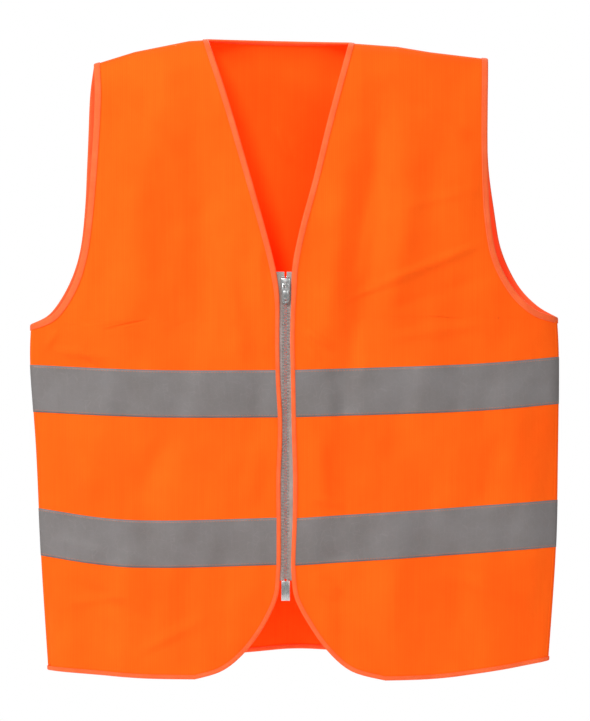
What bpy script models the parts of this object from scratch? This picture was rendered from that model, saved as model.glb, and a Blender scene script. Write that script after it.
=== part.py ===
"""High visibility vest with a separating zip, hanging from its shoulders.

The fabric shell is a flattened tube that closes along the two shoulder seams.  +X is the wearer's left,
-Y the front and +Z up, in metres; the origin is the middle of the shoulder line, where a hanger or the
wearer's shoulders hold the vest.  Each front folds open along a straight line from near the neck to near
the hem, so each front panel, with its tapes and bindings, is cut there into a side piece and a flap.
"""

import math

import bmesh
import bpy
import numpy as np
from mathutils import Vector

RIGHT, LEFT = -1, 1  # the wearer's right front lies at -X, the left front at +X
FRONT, BACK = -1, 1
BACK_PANEL = 0

# Shell
DEPTH = {FRONT: 0.036, BACK: 0.034}  # how far each panel bows out from the seams
SHOULDER_ROLL = 0.040  # drop over which the shell rounds over the shoulder
SEAM_HALF_GAP = 0.0005
FABRIC_THICKNESS = 0.0008

# Sewn trim
TAPE_WIDTH = 0.050
TAPE_THICKNESS = 0.0006
TRIM_GAP = 0.0007
TAPE_GAP = 0.0006  # between a reflective tape and the fabric under it
BINDING_WIDTH = 0.0052
BINDING_WALL = 0.0006
NECK_BOW = 0.0200  # how far the back of the neck bows backwards between the neck points
NECK_LIFT = 0.0010  # how far its middle stands above the line between them

# Fold of each front
FOLD_OFFSET = 0.030  # from the line between neck point and hem corner, towards the zip
FOLD_HALF_GAP = 0.0005
FOLD_Y_TOP, FOLD_Y_BOTTOM = -0.0400, -0.0258

# Zip
ZIP_X = -0.0095
ZIP_Y = -(DEPTH[FRONT] - FABRIC_THICKNESS - BINDING_WALL - TRIM_GAP - 0.0006)  # middle of the zip tape
ZIP_TAPE_TOP, ZIP_TAPE_BOTTOM = -0.2470, -0.5738
ZIP_TAPE_INNER, ZIP_TAPE_OUTER = 0.0039, 0.0150
ZIP_TAPE_THICKNESS = 0.0006
TEETH_TOP, TEETH_BOTTOM = -0.2625, -0.5730
TOOTH_PITCH = 0.0036
TOOTH_HEIGHT, TOOTH_TIP_HEIGHT = 0.0014, 0.0009
TOOTH_REACH = 0.0011  # past the middle of the chain
SPINE_INNER, SPINE_OUTER = 0.0020, 0.0036
CHAIN_THICKNESS = 0.0030
RUNNING_GAP = 0.0003

# Slider and pull tab
SLIDER_TOP = -0.2540
SLIDER_LENGTH = 0.0130
SLIDER_HALF_WIDTH = 0.0050
SLIDER_PLATE = 0.0010
CHANNEL_HALF_WIDTH = SPINE_OUTER + 0.0004
DIAMOND_HALF_WIDTH, DIAMOND_LENGTH = 0.0011, 0.0060
LUG_WIDTH, LUG_LENGTH, LUG_HEIGHT, LUG_BAR = 0.0015, 0.0062, 0.0030, 0.0010
TAB_HALF_WIDTH, TAB_LENGTH, TAB_THICKNESS = 0.0040, 0.0200, 0.0012
TAB_WINDOW = (0.0007, 0.0040)  # below the hinge
GRIP_RAISE = 0.0002

# Ends of the zip
STOP_INNER, STOP_OUTER, STOP_HEIGHT = 0.0006, 0.0034, 0.0020
PIN_INNER, PIN_OUTER, PIN_THICKNESS = 0.0006, 0.0028, 0.0018
PIN_TOP, PIN_BOTTOM = -0.5736, -0.5936
BOX_TOP, BOX_BOTTOM = -0.5742, -0.5950
BOX_HALF_WIDTH, BOX_THICKNESS, BOX_WALL = 0.0046, 0.0042, 0.0009

# Outlines seen from the front, as (x, z).  Side seams run from armpit to hem.
SIDE_SEAM = {
    RIGHT: [(-0.2803, -0.3030), (-0.2812, -0.3460), (-0.2750, -0.4360), (-0.2697, -0.5490), (-0.2620, -0.6690)],
    LEFT: [(0.2793, -0.2957), (0.2812, -0.3400), (0.2803, -0.4400), (0.2780, -0.5420), (0.2700, -0.6590)],
}
SHOULDER_TIP = {RIGHT: (-0.2125, -0.0260), LEFT: (0.2048, -0.0203)}
NECK_POINT = {RIGHT: (-0.0925, 0.0000), LEFT: (0.0585, -0.0035)}
SHOULDER_LINE = {
    RIGHT: [SHOULDER_TIP[RIGHT], (-0.1700, -0.0128), (-0.1120, -0.0012), NECK_POINT[RIGHT]],
    LEFT: [NECK_POINT[LEFT], (0.1090, -0.0072), (0.1440, -0.0130), SHOULDER_TIP[LEFT]],
}
ARMHOLE = {
    (RIGHT, FRONT): [
        (-0.2125, -0.0260), (-0.2110, -0.0600), (-0.2140, -0.1200), (-0.2190, -0.1800), (-0.2255, -0.2280),
        (-0.2365, -0.2630), (-0.2560, -0.2920), (-0.2803, -0.3030),
    ],
    (RIGHT, BACK): [
        (-0.2125, -0.0260), (-0.2175, -0.0600), (-0.2200, -0.1200), (-0.2230, -0.1800), (-0.2290, -0.2280),
        (-0.2420, -0.2650), (-0.2600, -0.2920), (-0.2803, -0.3030),
    ],
    (LEFT, FRONT): [
        (0.2048, -0.0203), (0.2040, -0.0600), (0.2040, -0.1300), (0.2065, -0.1850), (0.2140, -0.2300),
        (0.2310, -0.2640), (0.2540, -0.2870), (0.2793, -0.2957),
    ],
    (LEFT, BACK): [
        (0.2048, -0.0203), (0.2045, -0.0600), (0.2060, -0.1300), (0.2125, -0.1820), (0.2200, -0.2230),
        (0.2370, -0.2600), (0.2580, -0.2830), (0.2793, -0.2957),
    ],
}
# The free edge of each front: down the neckline, the zip and the rounded corner to the hem.
FRONT_EDGE = {
    RIGHT: [
        NECK_POINT[RIGHT], (-0.0695, -0.0700), (-0.0410, -0.1680), (-0.0254, -0.2250), (-0.0190, -0.2550),
        (-0.0164, -0.2800), (-0.0164, -0.3000), (-0.0164, -0.5450), (-0.0164, -0.5650), (-0.0192, -0.5920),
        (-0.0345, -0.6240), (-0.0550, -0.6510), (-0.0780, -0.6690), (-0.1060, -0.6775),
    ],
    LEFT: [
        NECK_POINT[LEFT], (0.0365, -0.0850), (0.0205, -0.1500), (0.0070, -0.2000), (-0.0011, -0.2400),
        (-0.0026, -0.2750), (-0.0026, -0.3000), (-0.0026, -0.5450), (-0.0026, -0.5650), (0.0012, -0.5920),
        (0.0165, -0.6210), (0.0360, -0.6480), (0.0610, -0.6690), (0.0960, -0.6785),
    ],
}
FRONT_HEM = {
    RIGHT: [(-0.2620, -0.6690), (-0.2175, -0.6725), (-0.1600, -0.6765), (-0.1060, -0.6775)],
    LEFT: [(0.2700, -0.6590), (0.2190, -0.6680), (0.1550, -0.6765), (0.0960, -0.6785)],
}
BACK_HEM = [
    (-0.2620, -0.6690), (-0.1600, -0.6610), (-0.0500, -0.6520), (0.0000, -0.6480), (0.0600, -0.6510),
    (0.1600, -0.6580), (0.2700, -0.6590),
]
# Middle line of each reflective tape, from the side seam to the zip, or across the back.
TAPE_LINE = {
    ("front", RIGHT, "upper"): [(-0.2790, -0.3705), (-0.1500, -0.3760), (-0.0157, -0.3760)],
    ("front", LEFT, "upper"): [(0.2800, -0.3620), (0.1800, -0.3700), (-0.0033, -0.3760)],
    ("front", RIGHT, "lower"): [(-0.2705, -0.5230), (-0.1700, -0.5350), (-0.0157, -0.5320)],
    ("front", LEFT, "lower"): [(0.2780, -0.5140), (0.1500, -0.5230), (-0.0033, -0.5330)],
    ("back", BACK, "upper"): [(-0.2790, -0.3705), (0.0000, -0.3700), (0.2800, -0.3620)],
    ("back", BACK, "lower"): [(-0.2705, -0.5230), (0.0000, -0.5250), (0.2780, -0.5140)],
}

COLOURS = {  # base colour, roughness, metallic
    "orange_fabric": ((1.0, 0.16, 0.01, 1.0), 0.85, 0.0),
    "binding": ((1.0, 0.20, 0.06, 1.0), 0.75, 0.0),
    "reflective": ((0.28, 0.25, 0.25, 1.0), 0.45, 0.2),
    "zip_tape": ((0.55, 0.55, 0.54, 1.0), 0.80, 0.0),
    "zip_metal": ((0.75, 0.75, 0.74, 1.0), 0.25, 1.0),
}


def clear_scene():
    for old in list(bpy.data.objects):
        bpy.data.objects.remove(old)


def material(name):
    found = bpy.data.materials.get(name)
    if found:
        return found
    made = bpy.data.materials.new(name)
    made.use_nodes = True
    shader = made.node_tree.nodes["Principled BSDF"]
    colour, roughness, metallic = COLOURS[name]
    shader.inputs["Base Color"].default_value = colour
    shader.inputs["Roughness"].default_value = roughness
    shader.inputs["Metallic"].default_value = metallic
    return made


def add_object(name, bm, material_name, smooth_angle=None):
    mesh = bpy.data.meshes.new(name)
    bm.to_mesh(mesh)
    bm.free()
    made = bpy.data.objects.new(name, mesh)
    bpy.context.scene.collection.objects.link(made)
    mesh.materials.append(material(material_name))
    if smooth_angle:
        mesh.shade_smooth()
        mesh.set_sharp_from_angle(angle=smooth_angle)
    return made


# ---- outlines ----

def smooth_curve(points, step=0.004):
    """Points every step or so along a Catmull-Rom curve through the given ones."""
    padded = [points[0], *points, points[-1]]
    found = []
    for before, a, b, after in zip(padded, padded[1:], padded[2:], padded[3:]):
        p0, p1, p2, p3 = (Vector(p) for p in (before, a, b, after))
        count = max(2, round((p2 - p1).length / step))
        for k in range(count):
            t = k / count
            found.append(
                0.5 * (2 * p1 + (p2 - p0) * t + (2 * p0 - 5 * p1 + 4 * p2 - p3) * t**2
                       + (3 * p1 - p0 - 3 * p2 + p3) * t**3)
            )
    found.append(Vector(points[-1]))
    return found


def x_at(curve, z):
    """x of a curve that only goes down, at height z."""
    points = curve[::-1]
    return float(np.interp(z, [p[1] for p in points], [p[0] for p in points]))


def z_at(curve, x):
    """z of a curve that runs across, at x."""
    points = sorted(curve, key=lambda p: p[0])
    return float(np.interp(x, [p[0] for p in points], [p[1] for p in points]))


def neck_drop(share):
    """How far below the shell's top the back of the neck lies, at a share of the way across the neck."""
    bow = NECK_BOW * math.sin(math.pi * share) / DEPTH[BACK]
    return SHOULDER_ROLL * (1 - math.sqrt(1 - bow**2))


def shell_top():
    """The shoulder line, raised between the neck points so that the neck edge itself runs nearly straight."""
    start, end = Vector(NECK_POINT[RIGHT]), Vector(NECK_POINT[LEFT])
    between = []
    for share in np.linspace(0, 1, 19)[1:-1].tolist():
        point = start.lerp(end, share)
        between.append(Vector((point.x, point.y + NECK_LIFT * math.sin(math.pi * share) + neck_drop(share))))
    return [Vector(p) for p in SHOULDER_LINE[RIGHT]] + between + [Vector(p) for p in SHOULDER_LINE[LEFT]]


SEAM_CURVE = {side: smooth_curve(SIDE_SEAM[side]) for side in (RIGHT, LEFT)}
SHOULDER_CURVE = shell_top()
HEM_CURVE = {side: smooth_curve(FRONT_HEM[side]) for side in (RIGHT, LEFT)}
BACK_HEM_CURVE = smooth_curve(BACK_HEM)
EDGE_CURVE = {side: smooth_curve(FRONT_EDGE[side]) for side in (RIGHT, LEFT)}
ARMHOLE_CURVE = {key: smooth_curve(points) for key, points in ARMHOLE.items()}
TAPE_CURVE = {key: smooth_curve(points) for key, points in TAPE_LINE.items()}


# ---- the shell's surface ----

def tube(z):
    """Middle and half width of the shell at height z; above the armpits it keeps their width."""
    right, left = x_at(SEAM_CURVE[RIGHT], z), x_at(SEAM_CURVE[LEFT], z)
    return (right + left) / 2, (left - right) / 2


def bow_squared(x, z, face):
    """Square of the shell's depth: an ellipse across, times a quarter circle over the shoulder."""
    middle, half = tube(z)
    drop = min(1.0, (z_at(SHOULDER_CURVE, x) - z) / SHOULDER_ROLL)
    return DEPTH[face] ** 2 * (1 - ((x - middle) / half) ** 2) * (1 - (1 - drop) ** 2)


def shell_normal(x, z, face):
    step = 0.003
    y = face * math.sqrt(max(0.0, bow_squared(x, z, face)))
    by_x = (bow_squared(x + step, z, face) - bow_squared(x - step, z, face)) / (2 * step)
    by_z = (bow_squared(x, z + step, face) - bow_squared(x, z - step, face)) / (2 * step)
    return Vector((-by_x, 2 * y, -by_z)).normalized()


def on_shell(x, z, face, inward=0.0):
    """The point of a panel's outer surface seen at (x, z), or that far under it."""
    depth = math.sqrt(max(SEAM_HALF_GAP**2, bow_squared(x, z, face)))
    point = Vector((x, face * depth, z))
    return point - shell_normal(x, z, face) * inward if inward else point


PANEL_HEIGHT = 0.66
ROLL_ANGLES = [math.radians(a) for a in (0, 5, 12, 21, 32, 45, 60, 75, 90)]
ROLL_ROWS = [SHOULDER_ROLL / PANEL_HEIGHT * (1 - math.cos(angle)) for angle in ROLL_ANGLES]
CORNER_ROWS = [0.945, 0.965, 0.982, 0.993, 1.0]  # close together round the front corners
ARMPIT_ROW = 0.4313  # the row that reaches the side seams where the armholes end
ARMHOLE_ROWS = [*ROLL_ROWS, *np.linspace(ROLL_ROWS[-1], 0.34, 7)[1:].tolist()]
ARMHOLE_ROWS += [0.370, 0.393, 0.407, 0.4163, 0.4225, 0.4268, 0.4293, 0.4306, ARMPIT_ROW]
PANEL_ROWS = [*ARMHOLE_ROWS, *np.linspace(ARMPIT_ROW, 0.92, 10)[1:].tolist(), *CORNER_ROWS]
FROM_SIDE = (np.linspace(0, 1, 16) ** 1.3).tolist()  # columns of a front, closer together by the side
FRONT_SHARES = {RIGHT: FROM_SIDE, LEFT: [1 - share for share in FROM_SIDE[::-1]]}


def top_z(x, face):
    """Height of a panel's upper edge: the shoulder line, and round the back of the neck a little below it."""
    start, end = NECK_POINT[RIGHT][0], NECK_POINT[LEFT][0]
    share = min(1.0, max(0.0, (x - start) / (end - start)))
    return z_at(SHOULDER_CURVE, x) - (neck_drop(share) if face == BACK else 0)


def side_edge(side, face, z):
    """x of the armhole, and below the armpit of the side seam, at height z."""
    armpit = SIDE_SEAM[side][0][1]
    return x_at(ARMHOLE_CURVE[side, face], z) if z > armpit else x_at(SEAM_CURVE[side], z)


def panel_edges(panel, z):
    """x of a panel's two upright edges at height z, the lower first; panel is a side, or BACK_PANEL."""
    if panel == BACK_PANEL:
        return side_edge(RIGHT, BACK, z), side_edge(LEFT, BACK, z)
    edges = side_edge(panel, FRONT, z), x_at(EDGE_CURVE[panel], z)
    return edges if panel == RIGHT else edges[::-1]


def hem_z(panel, x):
    return z_at(BACK_HEM_CURVE if panel == BACK_PANEL else HEM_CURVE[panel], x)


def angles(panel, z):
    """Where a panel's edges lie round the shell at height z."""
    middle, half = tube(z)
    return [math.asin(max(-1.0, min(1.0, (x - middle) / half))) for x in panel_edges(panel, z)]


def x_of_share(panel, z, share):
    """x at a share of the way round the shell between a panel's edges, so that columns crowd at the sides."""
    start, end = angles(panel, z)
    middle, half = tube(z)
    return middle + half * math.sin(start + (end - start) * share)


def share_of_x(panel, z, x):
    start, end = angles(panel, z)
    middle, half = tube(z)
    return (math.asin((x - middle) / half) - start) / (end - start)


def face_of(panel):
    return BACK if panel == BACK_PANEL else FRONT


def panel_point(panel, share, down):
    """(x, z) of a grid point: a share of the way across the panel, and a share of the way down it."""
    face = face_of(panel)
    x = x_of_share(panel, -0.3, share)
    for _ in range(8):
        z = top_z(x, face) * (1 - down) + hem_z(panel, x) * down
        x = x_of_share(panel, z, share)
    return x, z


def back_shares():
    """Columns of the back panel, with one at each neck point."""
    start, end = (share_of_x(BACK_PANEL, NECK_POINT[side][1], NECK_POINT[side][0]) for side in (RIGHT, LEFT))
    outer = np.linspace(0, 1, 10) ** 1.25
    parts = start * outer[:-1], np.linspace(start, end, 10), 1 - (1 - end) * outer[-2::-1]
    return np.concatenate(parts).tolist()


BACK_SHARES = back_shares()


def shares_of(panel):
    return BACK_SHARES if panel == BACK_PANEL else FRONT_SHARES[panel]


def sheet(shares, rows, place, face):
    """A grid over the given shares and rows, each point put by place(share, row)."""
    bm = bmesh.new()
    columns, lines = len(shares) - 1, len(rows) - 1
    bmesh.ops.create_grid(bm, x_segments=columns, y_segments=lines, size=0.5)
    for vertex in bm.verts:
        share = shares[round((vertex.co.x + 0.5) * columns)]
        vertex.co = place(share, rows[round((vertex.co.y + 0.5) * lines)])
    bm.normal_update()
    if sum(f.normal.y for f in bm.faces) * face < 0:
        bmesh.ops.reverse_faces(bm, faces=bm.faces)
    return bm


def panel_sheet(panel):
    face = face_of(panel)
    def place(share, row):
        return on_shell(*panel_point(panel, share, row), face)

    return sheet(shares_of(panel), PANEL_ROWS, place, face)


def add_thickness(made, thickness):
    """Gives a sheet its thickness, on its inner side."""
    solid = made.modifiers.new("thickness", "SOLIDIFY")
    solid.thickness = thickness
    solid.offset = -1
    solid.use_even_offset = True
    return made


# ---- the fold lines ----

def fold_line(side):
    """(top point, bottom point) of a front's fold axis."""
    neck, corner = Vector(NECK_POINT[side]), Vector(SIDE_SEAM[side][-1])
    along = (corner - neck).normalized()
    inboard = Vector((along.y, -along.x)) * side
    top, bottom = neck + inboard * FOLD_OFFSET, corner + inboard * FOLD_OFFSET
    return Vector((top.x, FOLD_Y_TOP, top.y)), Vector((bottom.x, FOLD_Y_BOTTOM, bottom.y))


def inboard_of_fold(side):
    """A point of the fold plane and the level normal of that plane, pointing to the zip."""
    top, bottom = fold_line(side)
    along = (bottom - top).normalized()
    return top, Vector((along.z, 0, -along.x)).normalized() * side


def past_fold(side, point):
    """How far a point lies past the fold, towards the zip."""
    origin, inboard = inboard_of_fold(side)
    return (point - origin).dot(inboard)


def cut_at_fold(bm, side, keep_flap):
    """Keeps the flap or the side piece of a sheet, half a gap clear of the fold plane."""
    origin, inboard = inboard_of_fold(side)
    shift = FOLD_HALF_GAP if keep_flap else -FOLD_HALF_GAP
    bmesh.ops.bisect_plane(
        bm, geom=bm.verts[:] + bm.edges[:] + bm.faces[:], plane_co=origin + inboard * shift,
        plane_no=inboard, clear_inner=keep_flap, clear_outer=not keep_flap,
    )
    return bm


# ---- fabric panels and tapes ----

def add_panels(side, word):
    for keep_flap, place in ((True, "flap"), (False, "side")):
        bm = cut_at_fold(panel_sheet(side), side, keep_flap)
        add_thickness(add_object(f"{word}_front_{place}", bm, "orange_fabric", 0.6), FABRIC_THICKNESS)


def tape_sheet(panel, line, clear):
    """A strip of reflective tape laid proud of a panel; clear is how far each end stops from its edges."""
    face = face_of(panel)
    ends = []
    for edge, (x_end, _), gap in zip((0, 1), (line[0], line[-1]), clear):
        z = z_at(line, x_end)
        x = panel_edges(panel, z)[edge] + gap
        ends.append(share_of_x(panel, z, x))

    def place(share, up):
        share = min(ends[1], max(ends[0], share))
        z = line[0][1]
        for _ in range(8):
            x = x_of_share(panel, z, share)
            z = z_at(line, x) + TAPE_WIDTH * (up - 0.5)
        return on_shell(x, z, face, -(TAPE_GAP + TAPE_THICKNESS))

    return sheet(shares_of(panel), [0, 0.5, 1], place, face)


def add_tapes(side, word):
    beside_seam, beside_zip = 0.0010, BINDING_WIDTH + TRIM_GAP
    clear = (beside_seam, -beside_zip) if side == RIGHT else (beside_zip, -beside_seam)
    for level in ("upper", "lower"):
        line = sorted(TAPE_CURVE["front", side, level], key=lambda p: p[0])
        for keep_flap, place in ((True, "flap"), (False, "side")):
            bm = cut_at_fold(tape_sheet(side, line, clear), side, keep_flap)
            add_thickness(add_object(f"{word}_{place}_tape_{level}", bm, "reflective", 0.6), TAPE_THICKNESS)


def add_back():
    add_thickness(add_object("back_panel", panel_sheet(BACK_PANEL), "orange_fabric", 0.6), FABRIC_THICKNESS)
    for level in ("upper", "lower"):
        bm = tape_sheet(BACK_PANEL, TAPE_CURVE["back", BACK, level], (0.0010, -0.0010))
        add_thickness(add_object(f"back_tape_{level}", bm, "reflective", 0.6), TAPE_THICKNESS)


# ---- bindings ----

def binding_profile():
    """Cross-section of the folded binding: (into the fabric, outwards) from the fabric's edge, a square U."""
    far, near = TRIM_GAP + BINDING_WALL, TRIM_GAP
    low, high = -FABRIC_THICKNESS, 0.0
    return [
        (-far, high + far), (BINDING_WIDTH, high + far), (BINDING_WIDTH, high + near), (-near, high + near),
        (-near, low - near), (BINDING_WIDTH, low - near), (BINDING_WIDTH, low - far), (-far, low - far),
    ]


def path_normal(point, face):
    """The shell's normal at a path point; on a seam, face is 0 and the normal leans neither way."""
    normal = shell_normal(point.x, point.z, face or FRONT)
    return Vector((normal.x, normal.y * abs(face), normal.z)).normalized()


def column_path(panel, share, rows):
    """(position, face) of the grid points down one edge of a panel."""
    face = face_of(panel)
    return [(on_shell(*panel_point(panel, share, row), face), face) for row in rows]


def row_path(panel, shares, row):
    """(position, face) of the grid points along the top or bottom edge of a panel."""
    face = face_of(panel)
    return [(on_shell(*panel_point(panel, share, row), face), face) for share in shares]


def joined(*paths):
    """One path from several that meet at seams, where one point halfway stands for both ends."""
    whole = list(paths[0])
    for path in paths[1:]:
        whole.append(((whole.pop()[0] + path[0][0]) / 2, 0))
        whole += path[1:]
    return whole


def trimmed_path(path, side, keep_flap):
    """The part of a path on one side of the fold, ending where it meets the fold plane.

    Points nearer the plane than the margin are left out, to make room for the slant of the cut end.
    """
    sign, margin = (1 if keep_flap else -1), 0.006
    kept = [p for p in path if past_fold(side, p[0]) * sign > margin]
    crossings = []
    for (a, face), (b, _) in zip(path, path[1:]):
        past_a, past_b = past_fold(side, a), past_fold(side, b)
        if past_a * past_b < 0:
            crossings.append((a.lerp(b, past_a / (past_a - past_b)), face))
    return [crossings[0], *kept, crossings[-1]] if keep_flap else [*kept, crossings[0]]


def fold_plane(side, keep_flap):
    origin, inboard = inboard_of_fold(side)
    return origin + inboard * (FOLD_HALF_GAP if keep_flap else -FOLD_HALF_GAP), inboard


def sweep(name, path, inward, closed=False, ends=(None, None)):
    """A binding along a path of (position, face); inward is +1 where normal x path points into the fabric.

    ends holds the plane (point, normal) that each open end is cut along, where it has one.
    """
    count = len(path)
    profile = binding_profile()

    def directions(i):
        here = path[i][0]
        after = path[(i + 1) % count][0] if closed or i + 1 < count else None
        before = path[i - 1][0] if closed or i else None
        ahead = (after - here).normalized() if after else (here - before).normalized()
        behind = (here - before).normalized() if before else ahead
        return behind, ahead

    def ring(i):
        """The profile of both neighbouring stretches, carried along each to the plane halfway between them."""
        here, face = path[i]
        behind, ahead = directions(i)
        along = (ahead + behind).normalized()
        inner = here + path_normal(here, face).cross(along) * inward * BINDING_WIDTH / 2
        normal = path_normal(inner, face)
        corners = []
        for p, q in profile:
            co = Vector()
            for stretch in (behind, ahead):
                into = normal.cross(stretch).normalized() * inward
                out = (normal - stretch * normal.dot(stretch)).normalized()
                offset = into * p + out * q
                co += offset - stretch * (offset.dot(along) / stretch.dot(along))
            corners.append(here + co / 2)
        return corners

    rings = [ring(i) for i in range(count)]
    if closed:
        rings.append(rings[0])
    for end, at in ((0, 0), (1, count - 1)):
        if ends[end]:
            point, normal = ends[end]
            along = directions(at)[1]
            rings[at] = [co + along * ((point - co).dot(normal) / along.dot(normal)) for co in rings[at]]
    bm = bmesh.new()
    sides, steps = len(profile), len(rings) - 1
    bmesh.ops.create_grid(bm, x_segments=sides, y_segments=steps, size=0.5)
    for vertex in bm.verts:
        corner = round((vertex.co.x + 0.5) * sides) % sides
        vertex.co = rings[round((vertex.co.y + 0.5) * steps)][corner]
    bmesh.ops.remove_doubles(bm, verts=bm.verts, dist=1e-6)
    if not closed:
        bmesh.ops.holes_fill(bm, edges=bm.edges, sides=sides)
    bmesh.ops.recalc_face_normals(bm, faces=bm.faces)
    return add_object(name, bm, "binding", 0.8)


def inner_share(side):
    return 1.0 if side == RIGHT else 0.0


def free_edge_path(side):
    """Neckline, zip edge and rounded corner from the neck point down, then the hem out to the side seam."""
    shares = FRONT_SHARES[side][::side]
    return column_path(side, inner_share(side), PANEL_ROWS)[:-1] + row_path(side, shares, 1.0)


def add_front_binding(side, word):
    path = trimmed_path(free_edge_path(side), side, True)
    plane = fold_plane(side, True)
    sweep(f"{word}_front_binding", path, inward=side, ends=(plane, plane))


def add_neck_binding():
    """From one fold over the shoulder, round the back of the neck and down to the other fold."""
    across = row_path(BACK_PANEL, BACK_SHARES[9:19], 0.0)
    parts = {}
    for side in (RIGHT, LEFT):
        edge = column_path(side, inner_share(side), PANEL_ROWS[:12])
        parts[side] = trimmed_path(edge, side, False)
    path = joined(parts[RIGHT][::-1], across, parts[LEFT])
    sweep("neck_binding", path, inward=LEFT, ends=(fold_plane(RIGHT, False), fold_plane(LEFT, False)))


def add_hem_binding():
    """From one fold out to the side seam, round the back hem and in to the other fold."""
    parts = {}
    for side in (RIGHT, LEFT):
        parts[side] = trimmed_path(row_path(side, FRONT_SHARES[side][::-side], 1.0), side, False)
    path = joined(parts[RIGHT][::-1], row_path(BACK_PANEL, BACK_SHARES, 1.0), parts[LEFT])
    sweep("hem_binding", path, inward=RIGHT, ends=(fold_plane(RIGHT, False), fold_plane(LEFT, False)))


def armhole_path(side, face):
    """Points of an armhole edge from the shoulder tip to the armpit."""
    panel = BACK_PANEL if face == BACK else side
    share = 0.0 if side == RIGHT else 1.0
    return column_path(panel, share, ARMHOLE_ROWS)


def add_armhole_binding(side, word):
    front, back = armhole_path(side, FRONT), armhole_path(side, BACK)
    path = joined(front, back[::-1])
    tip = (path[0][0] + path[-1][0]) / 2
    sweep(f"{word}_armhole_binding", [(tip, 0), *path[1:-1]], inward=-side, closed=True)


# ---- zip ----

def prism(outline, front, back):
    """A solid with the given (x, z) outline round the zip's middle line, between two depths off its tape."""
    bm = bmesh.new()
    corners = [bm.verts.new((ZIP_X + x, ZIP_Y + front, z)) for x, z in outline]
    face = bm.faces.new(corners)
    grown = bmesh.ops.extrude_face_region(bm, geom=[face])["geom"]
    moved = [g for g in grown if isinstance(g, bmesh.types.BMVert)]
    bmesh.ops.translate(bm, verts=moved, vec=(0, back - front, 0))
    bmesh.ops.recalc_face_normals(bm, faces=bm.faces)
    return bm


def rectangle(x0, x1, z0, z1):
    return [(x0, z0), (x1, z0), (x1, z1), (x0, z1)]


def mirrored(outline, side):
    return [(x * side, z) for x, z in outline]


def cut(made, bm, operation="DIFFERENCE"):
    """Cuts a solid out of, or adds one to, a made piece."""
    cutter = add_object(f"{made.name}_{operation.lower()}_{len(made.modifiers)}", bm, "zip_metal")
    cutter.hide_render = True
    cutter.display_type = "WIRE"
    boolean = made.modifiers.new(operation.lower(), "BOOLEAN")
    boolean.operation = operation
    boolean.solver = "EXACT"
    boolean.object = cutter
    return made


def add_zip_tape(side, word):
    half = ZIP_TAPE_THICKNESS / 2
    outline = rectangle(ZIP_TAPE_INNER, ZIP_TAPE_OUTER, ZIP_TAPE_BOTTOM, ZIP_TAPE_TOP)
    add_object(f"{word}_zip_tape", prism(mirrored(outline, side), -half, half), "zip_tape")


def teeth_outline(side):
    """A spine down the tape's edge with every tooth of that side standing on it."""
    start = TEETH_TOP if side == RIGHT else TEETH_TOP - TOOTH_PITCH / 2
    count = int((start - TEETH_BOTTOM - TOOTH_HEIGHT) / TOOTH_PITCH) + 1
    outline = [(SPINE_OUTER, TEETH_BOTTOM), (SPINE_OUTER, start)]
    for k in range(count):
        top = start - k * TOOTH_PITCH
        taper = (TOOTH_HEIGHT - TOOTH_TIP_HEIGHT) / 2
        outline += [
            (SPINE_INNER, top), (-TOOTH_REACH, top - taper),
            (-TOOTH_REACH, top - taper - TOOTH_TIP_HEIGHT), (SPINE_INNER, top - TOOTH_HEIGHT),
        ]
    if outline[-1][1] > TEETH_BOTTOM:
        outline.append((SPINE_INNER, TEETH_BOTTOM))
    return outline


def add_teeth(side, word):
    half = CHAIN_THICKNESS / 2
    add_object(f"{word}_zip_teeth", prism(mirrored(teeth_outline(side), side), -half, half), "zip_metal")


def add_top_stop(side, word):
    half = CHAIN_THICKNESS / 2
    low = SLIDER_TOP + RUNNING_GAP
    outline = rectangle(STOP_INNER, STOP_OUTER, low, low + STOP_HEIGHT)
    add_object(f"{word}_top_stop", prism(mirrored(outline, side), -half, half), "zip_metal")


def channel_outline(half_width):
    """The slider's passage: one channel below, split in two by the diamond above."""
    low, high = SLIDER_TOP - SLIDER_LENGTH - 0.001, SLIDER_TOP + 0.001
    tip = SLIDER_TOP - DIAMOND_LENGTH
    return [
        (-half_width, low), (half_width, low), (half_width, high), (DIAMOND_HALF_WIDTH, high),
        (0, tip), (-DIAMOND_HALF_WIDTH, high), (-half_width, high),
    ]


def slider_front():
    """Depth of the slider's front plate off the zip tape."""
    return -(CHAIN_THICKNESS / 2 + RUNNING_GAP + SLIDER_PLATE)


def hinge_point():
    """Middle of the pull tab's hinge."""
    depth = slider_front() - RUNNING_GAP - TAB_THICKNESS / 2
    return Vector((ZIP_X, ZIP_Y + depth, SLIDER_TOP - SLIDER_LENGTH / 2))


def side_prism(outline, half_width):
    """A solid whose (outwards, up) outline is round the tab's hinge, extruded to both sides of the zip."""
    hinge = hinge_point()
    bm = bmesh.new()
    corners = [bm.verts.new((ZIP_X - half_width, hinge.y - y, hinge.z + z)) for y, z in outline]
    face = bm.faces.new(corners)
    grown = bmesh.ops.extrude_face_region(bm, geom=[face])["geom"]
    moved = [g for g in grown if isinstance(g, bmesh.types.BMVert)]
    bmesh.ops.translate(bm, verts=moved, vec=(2 * half_width, 0, 0))
    bmesh.ops.recalc_face_normals(bm, faces=bm.faces)
    return bm


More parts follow.
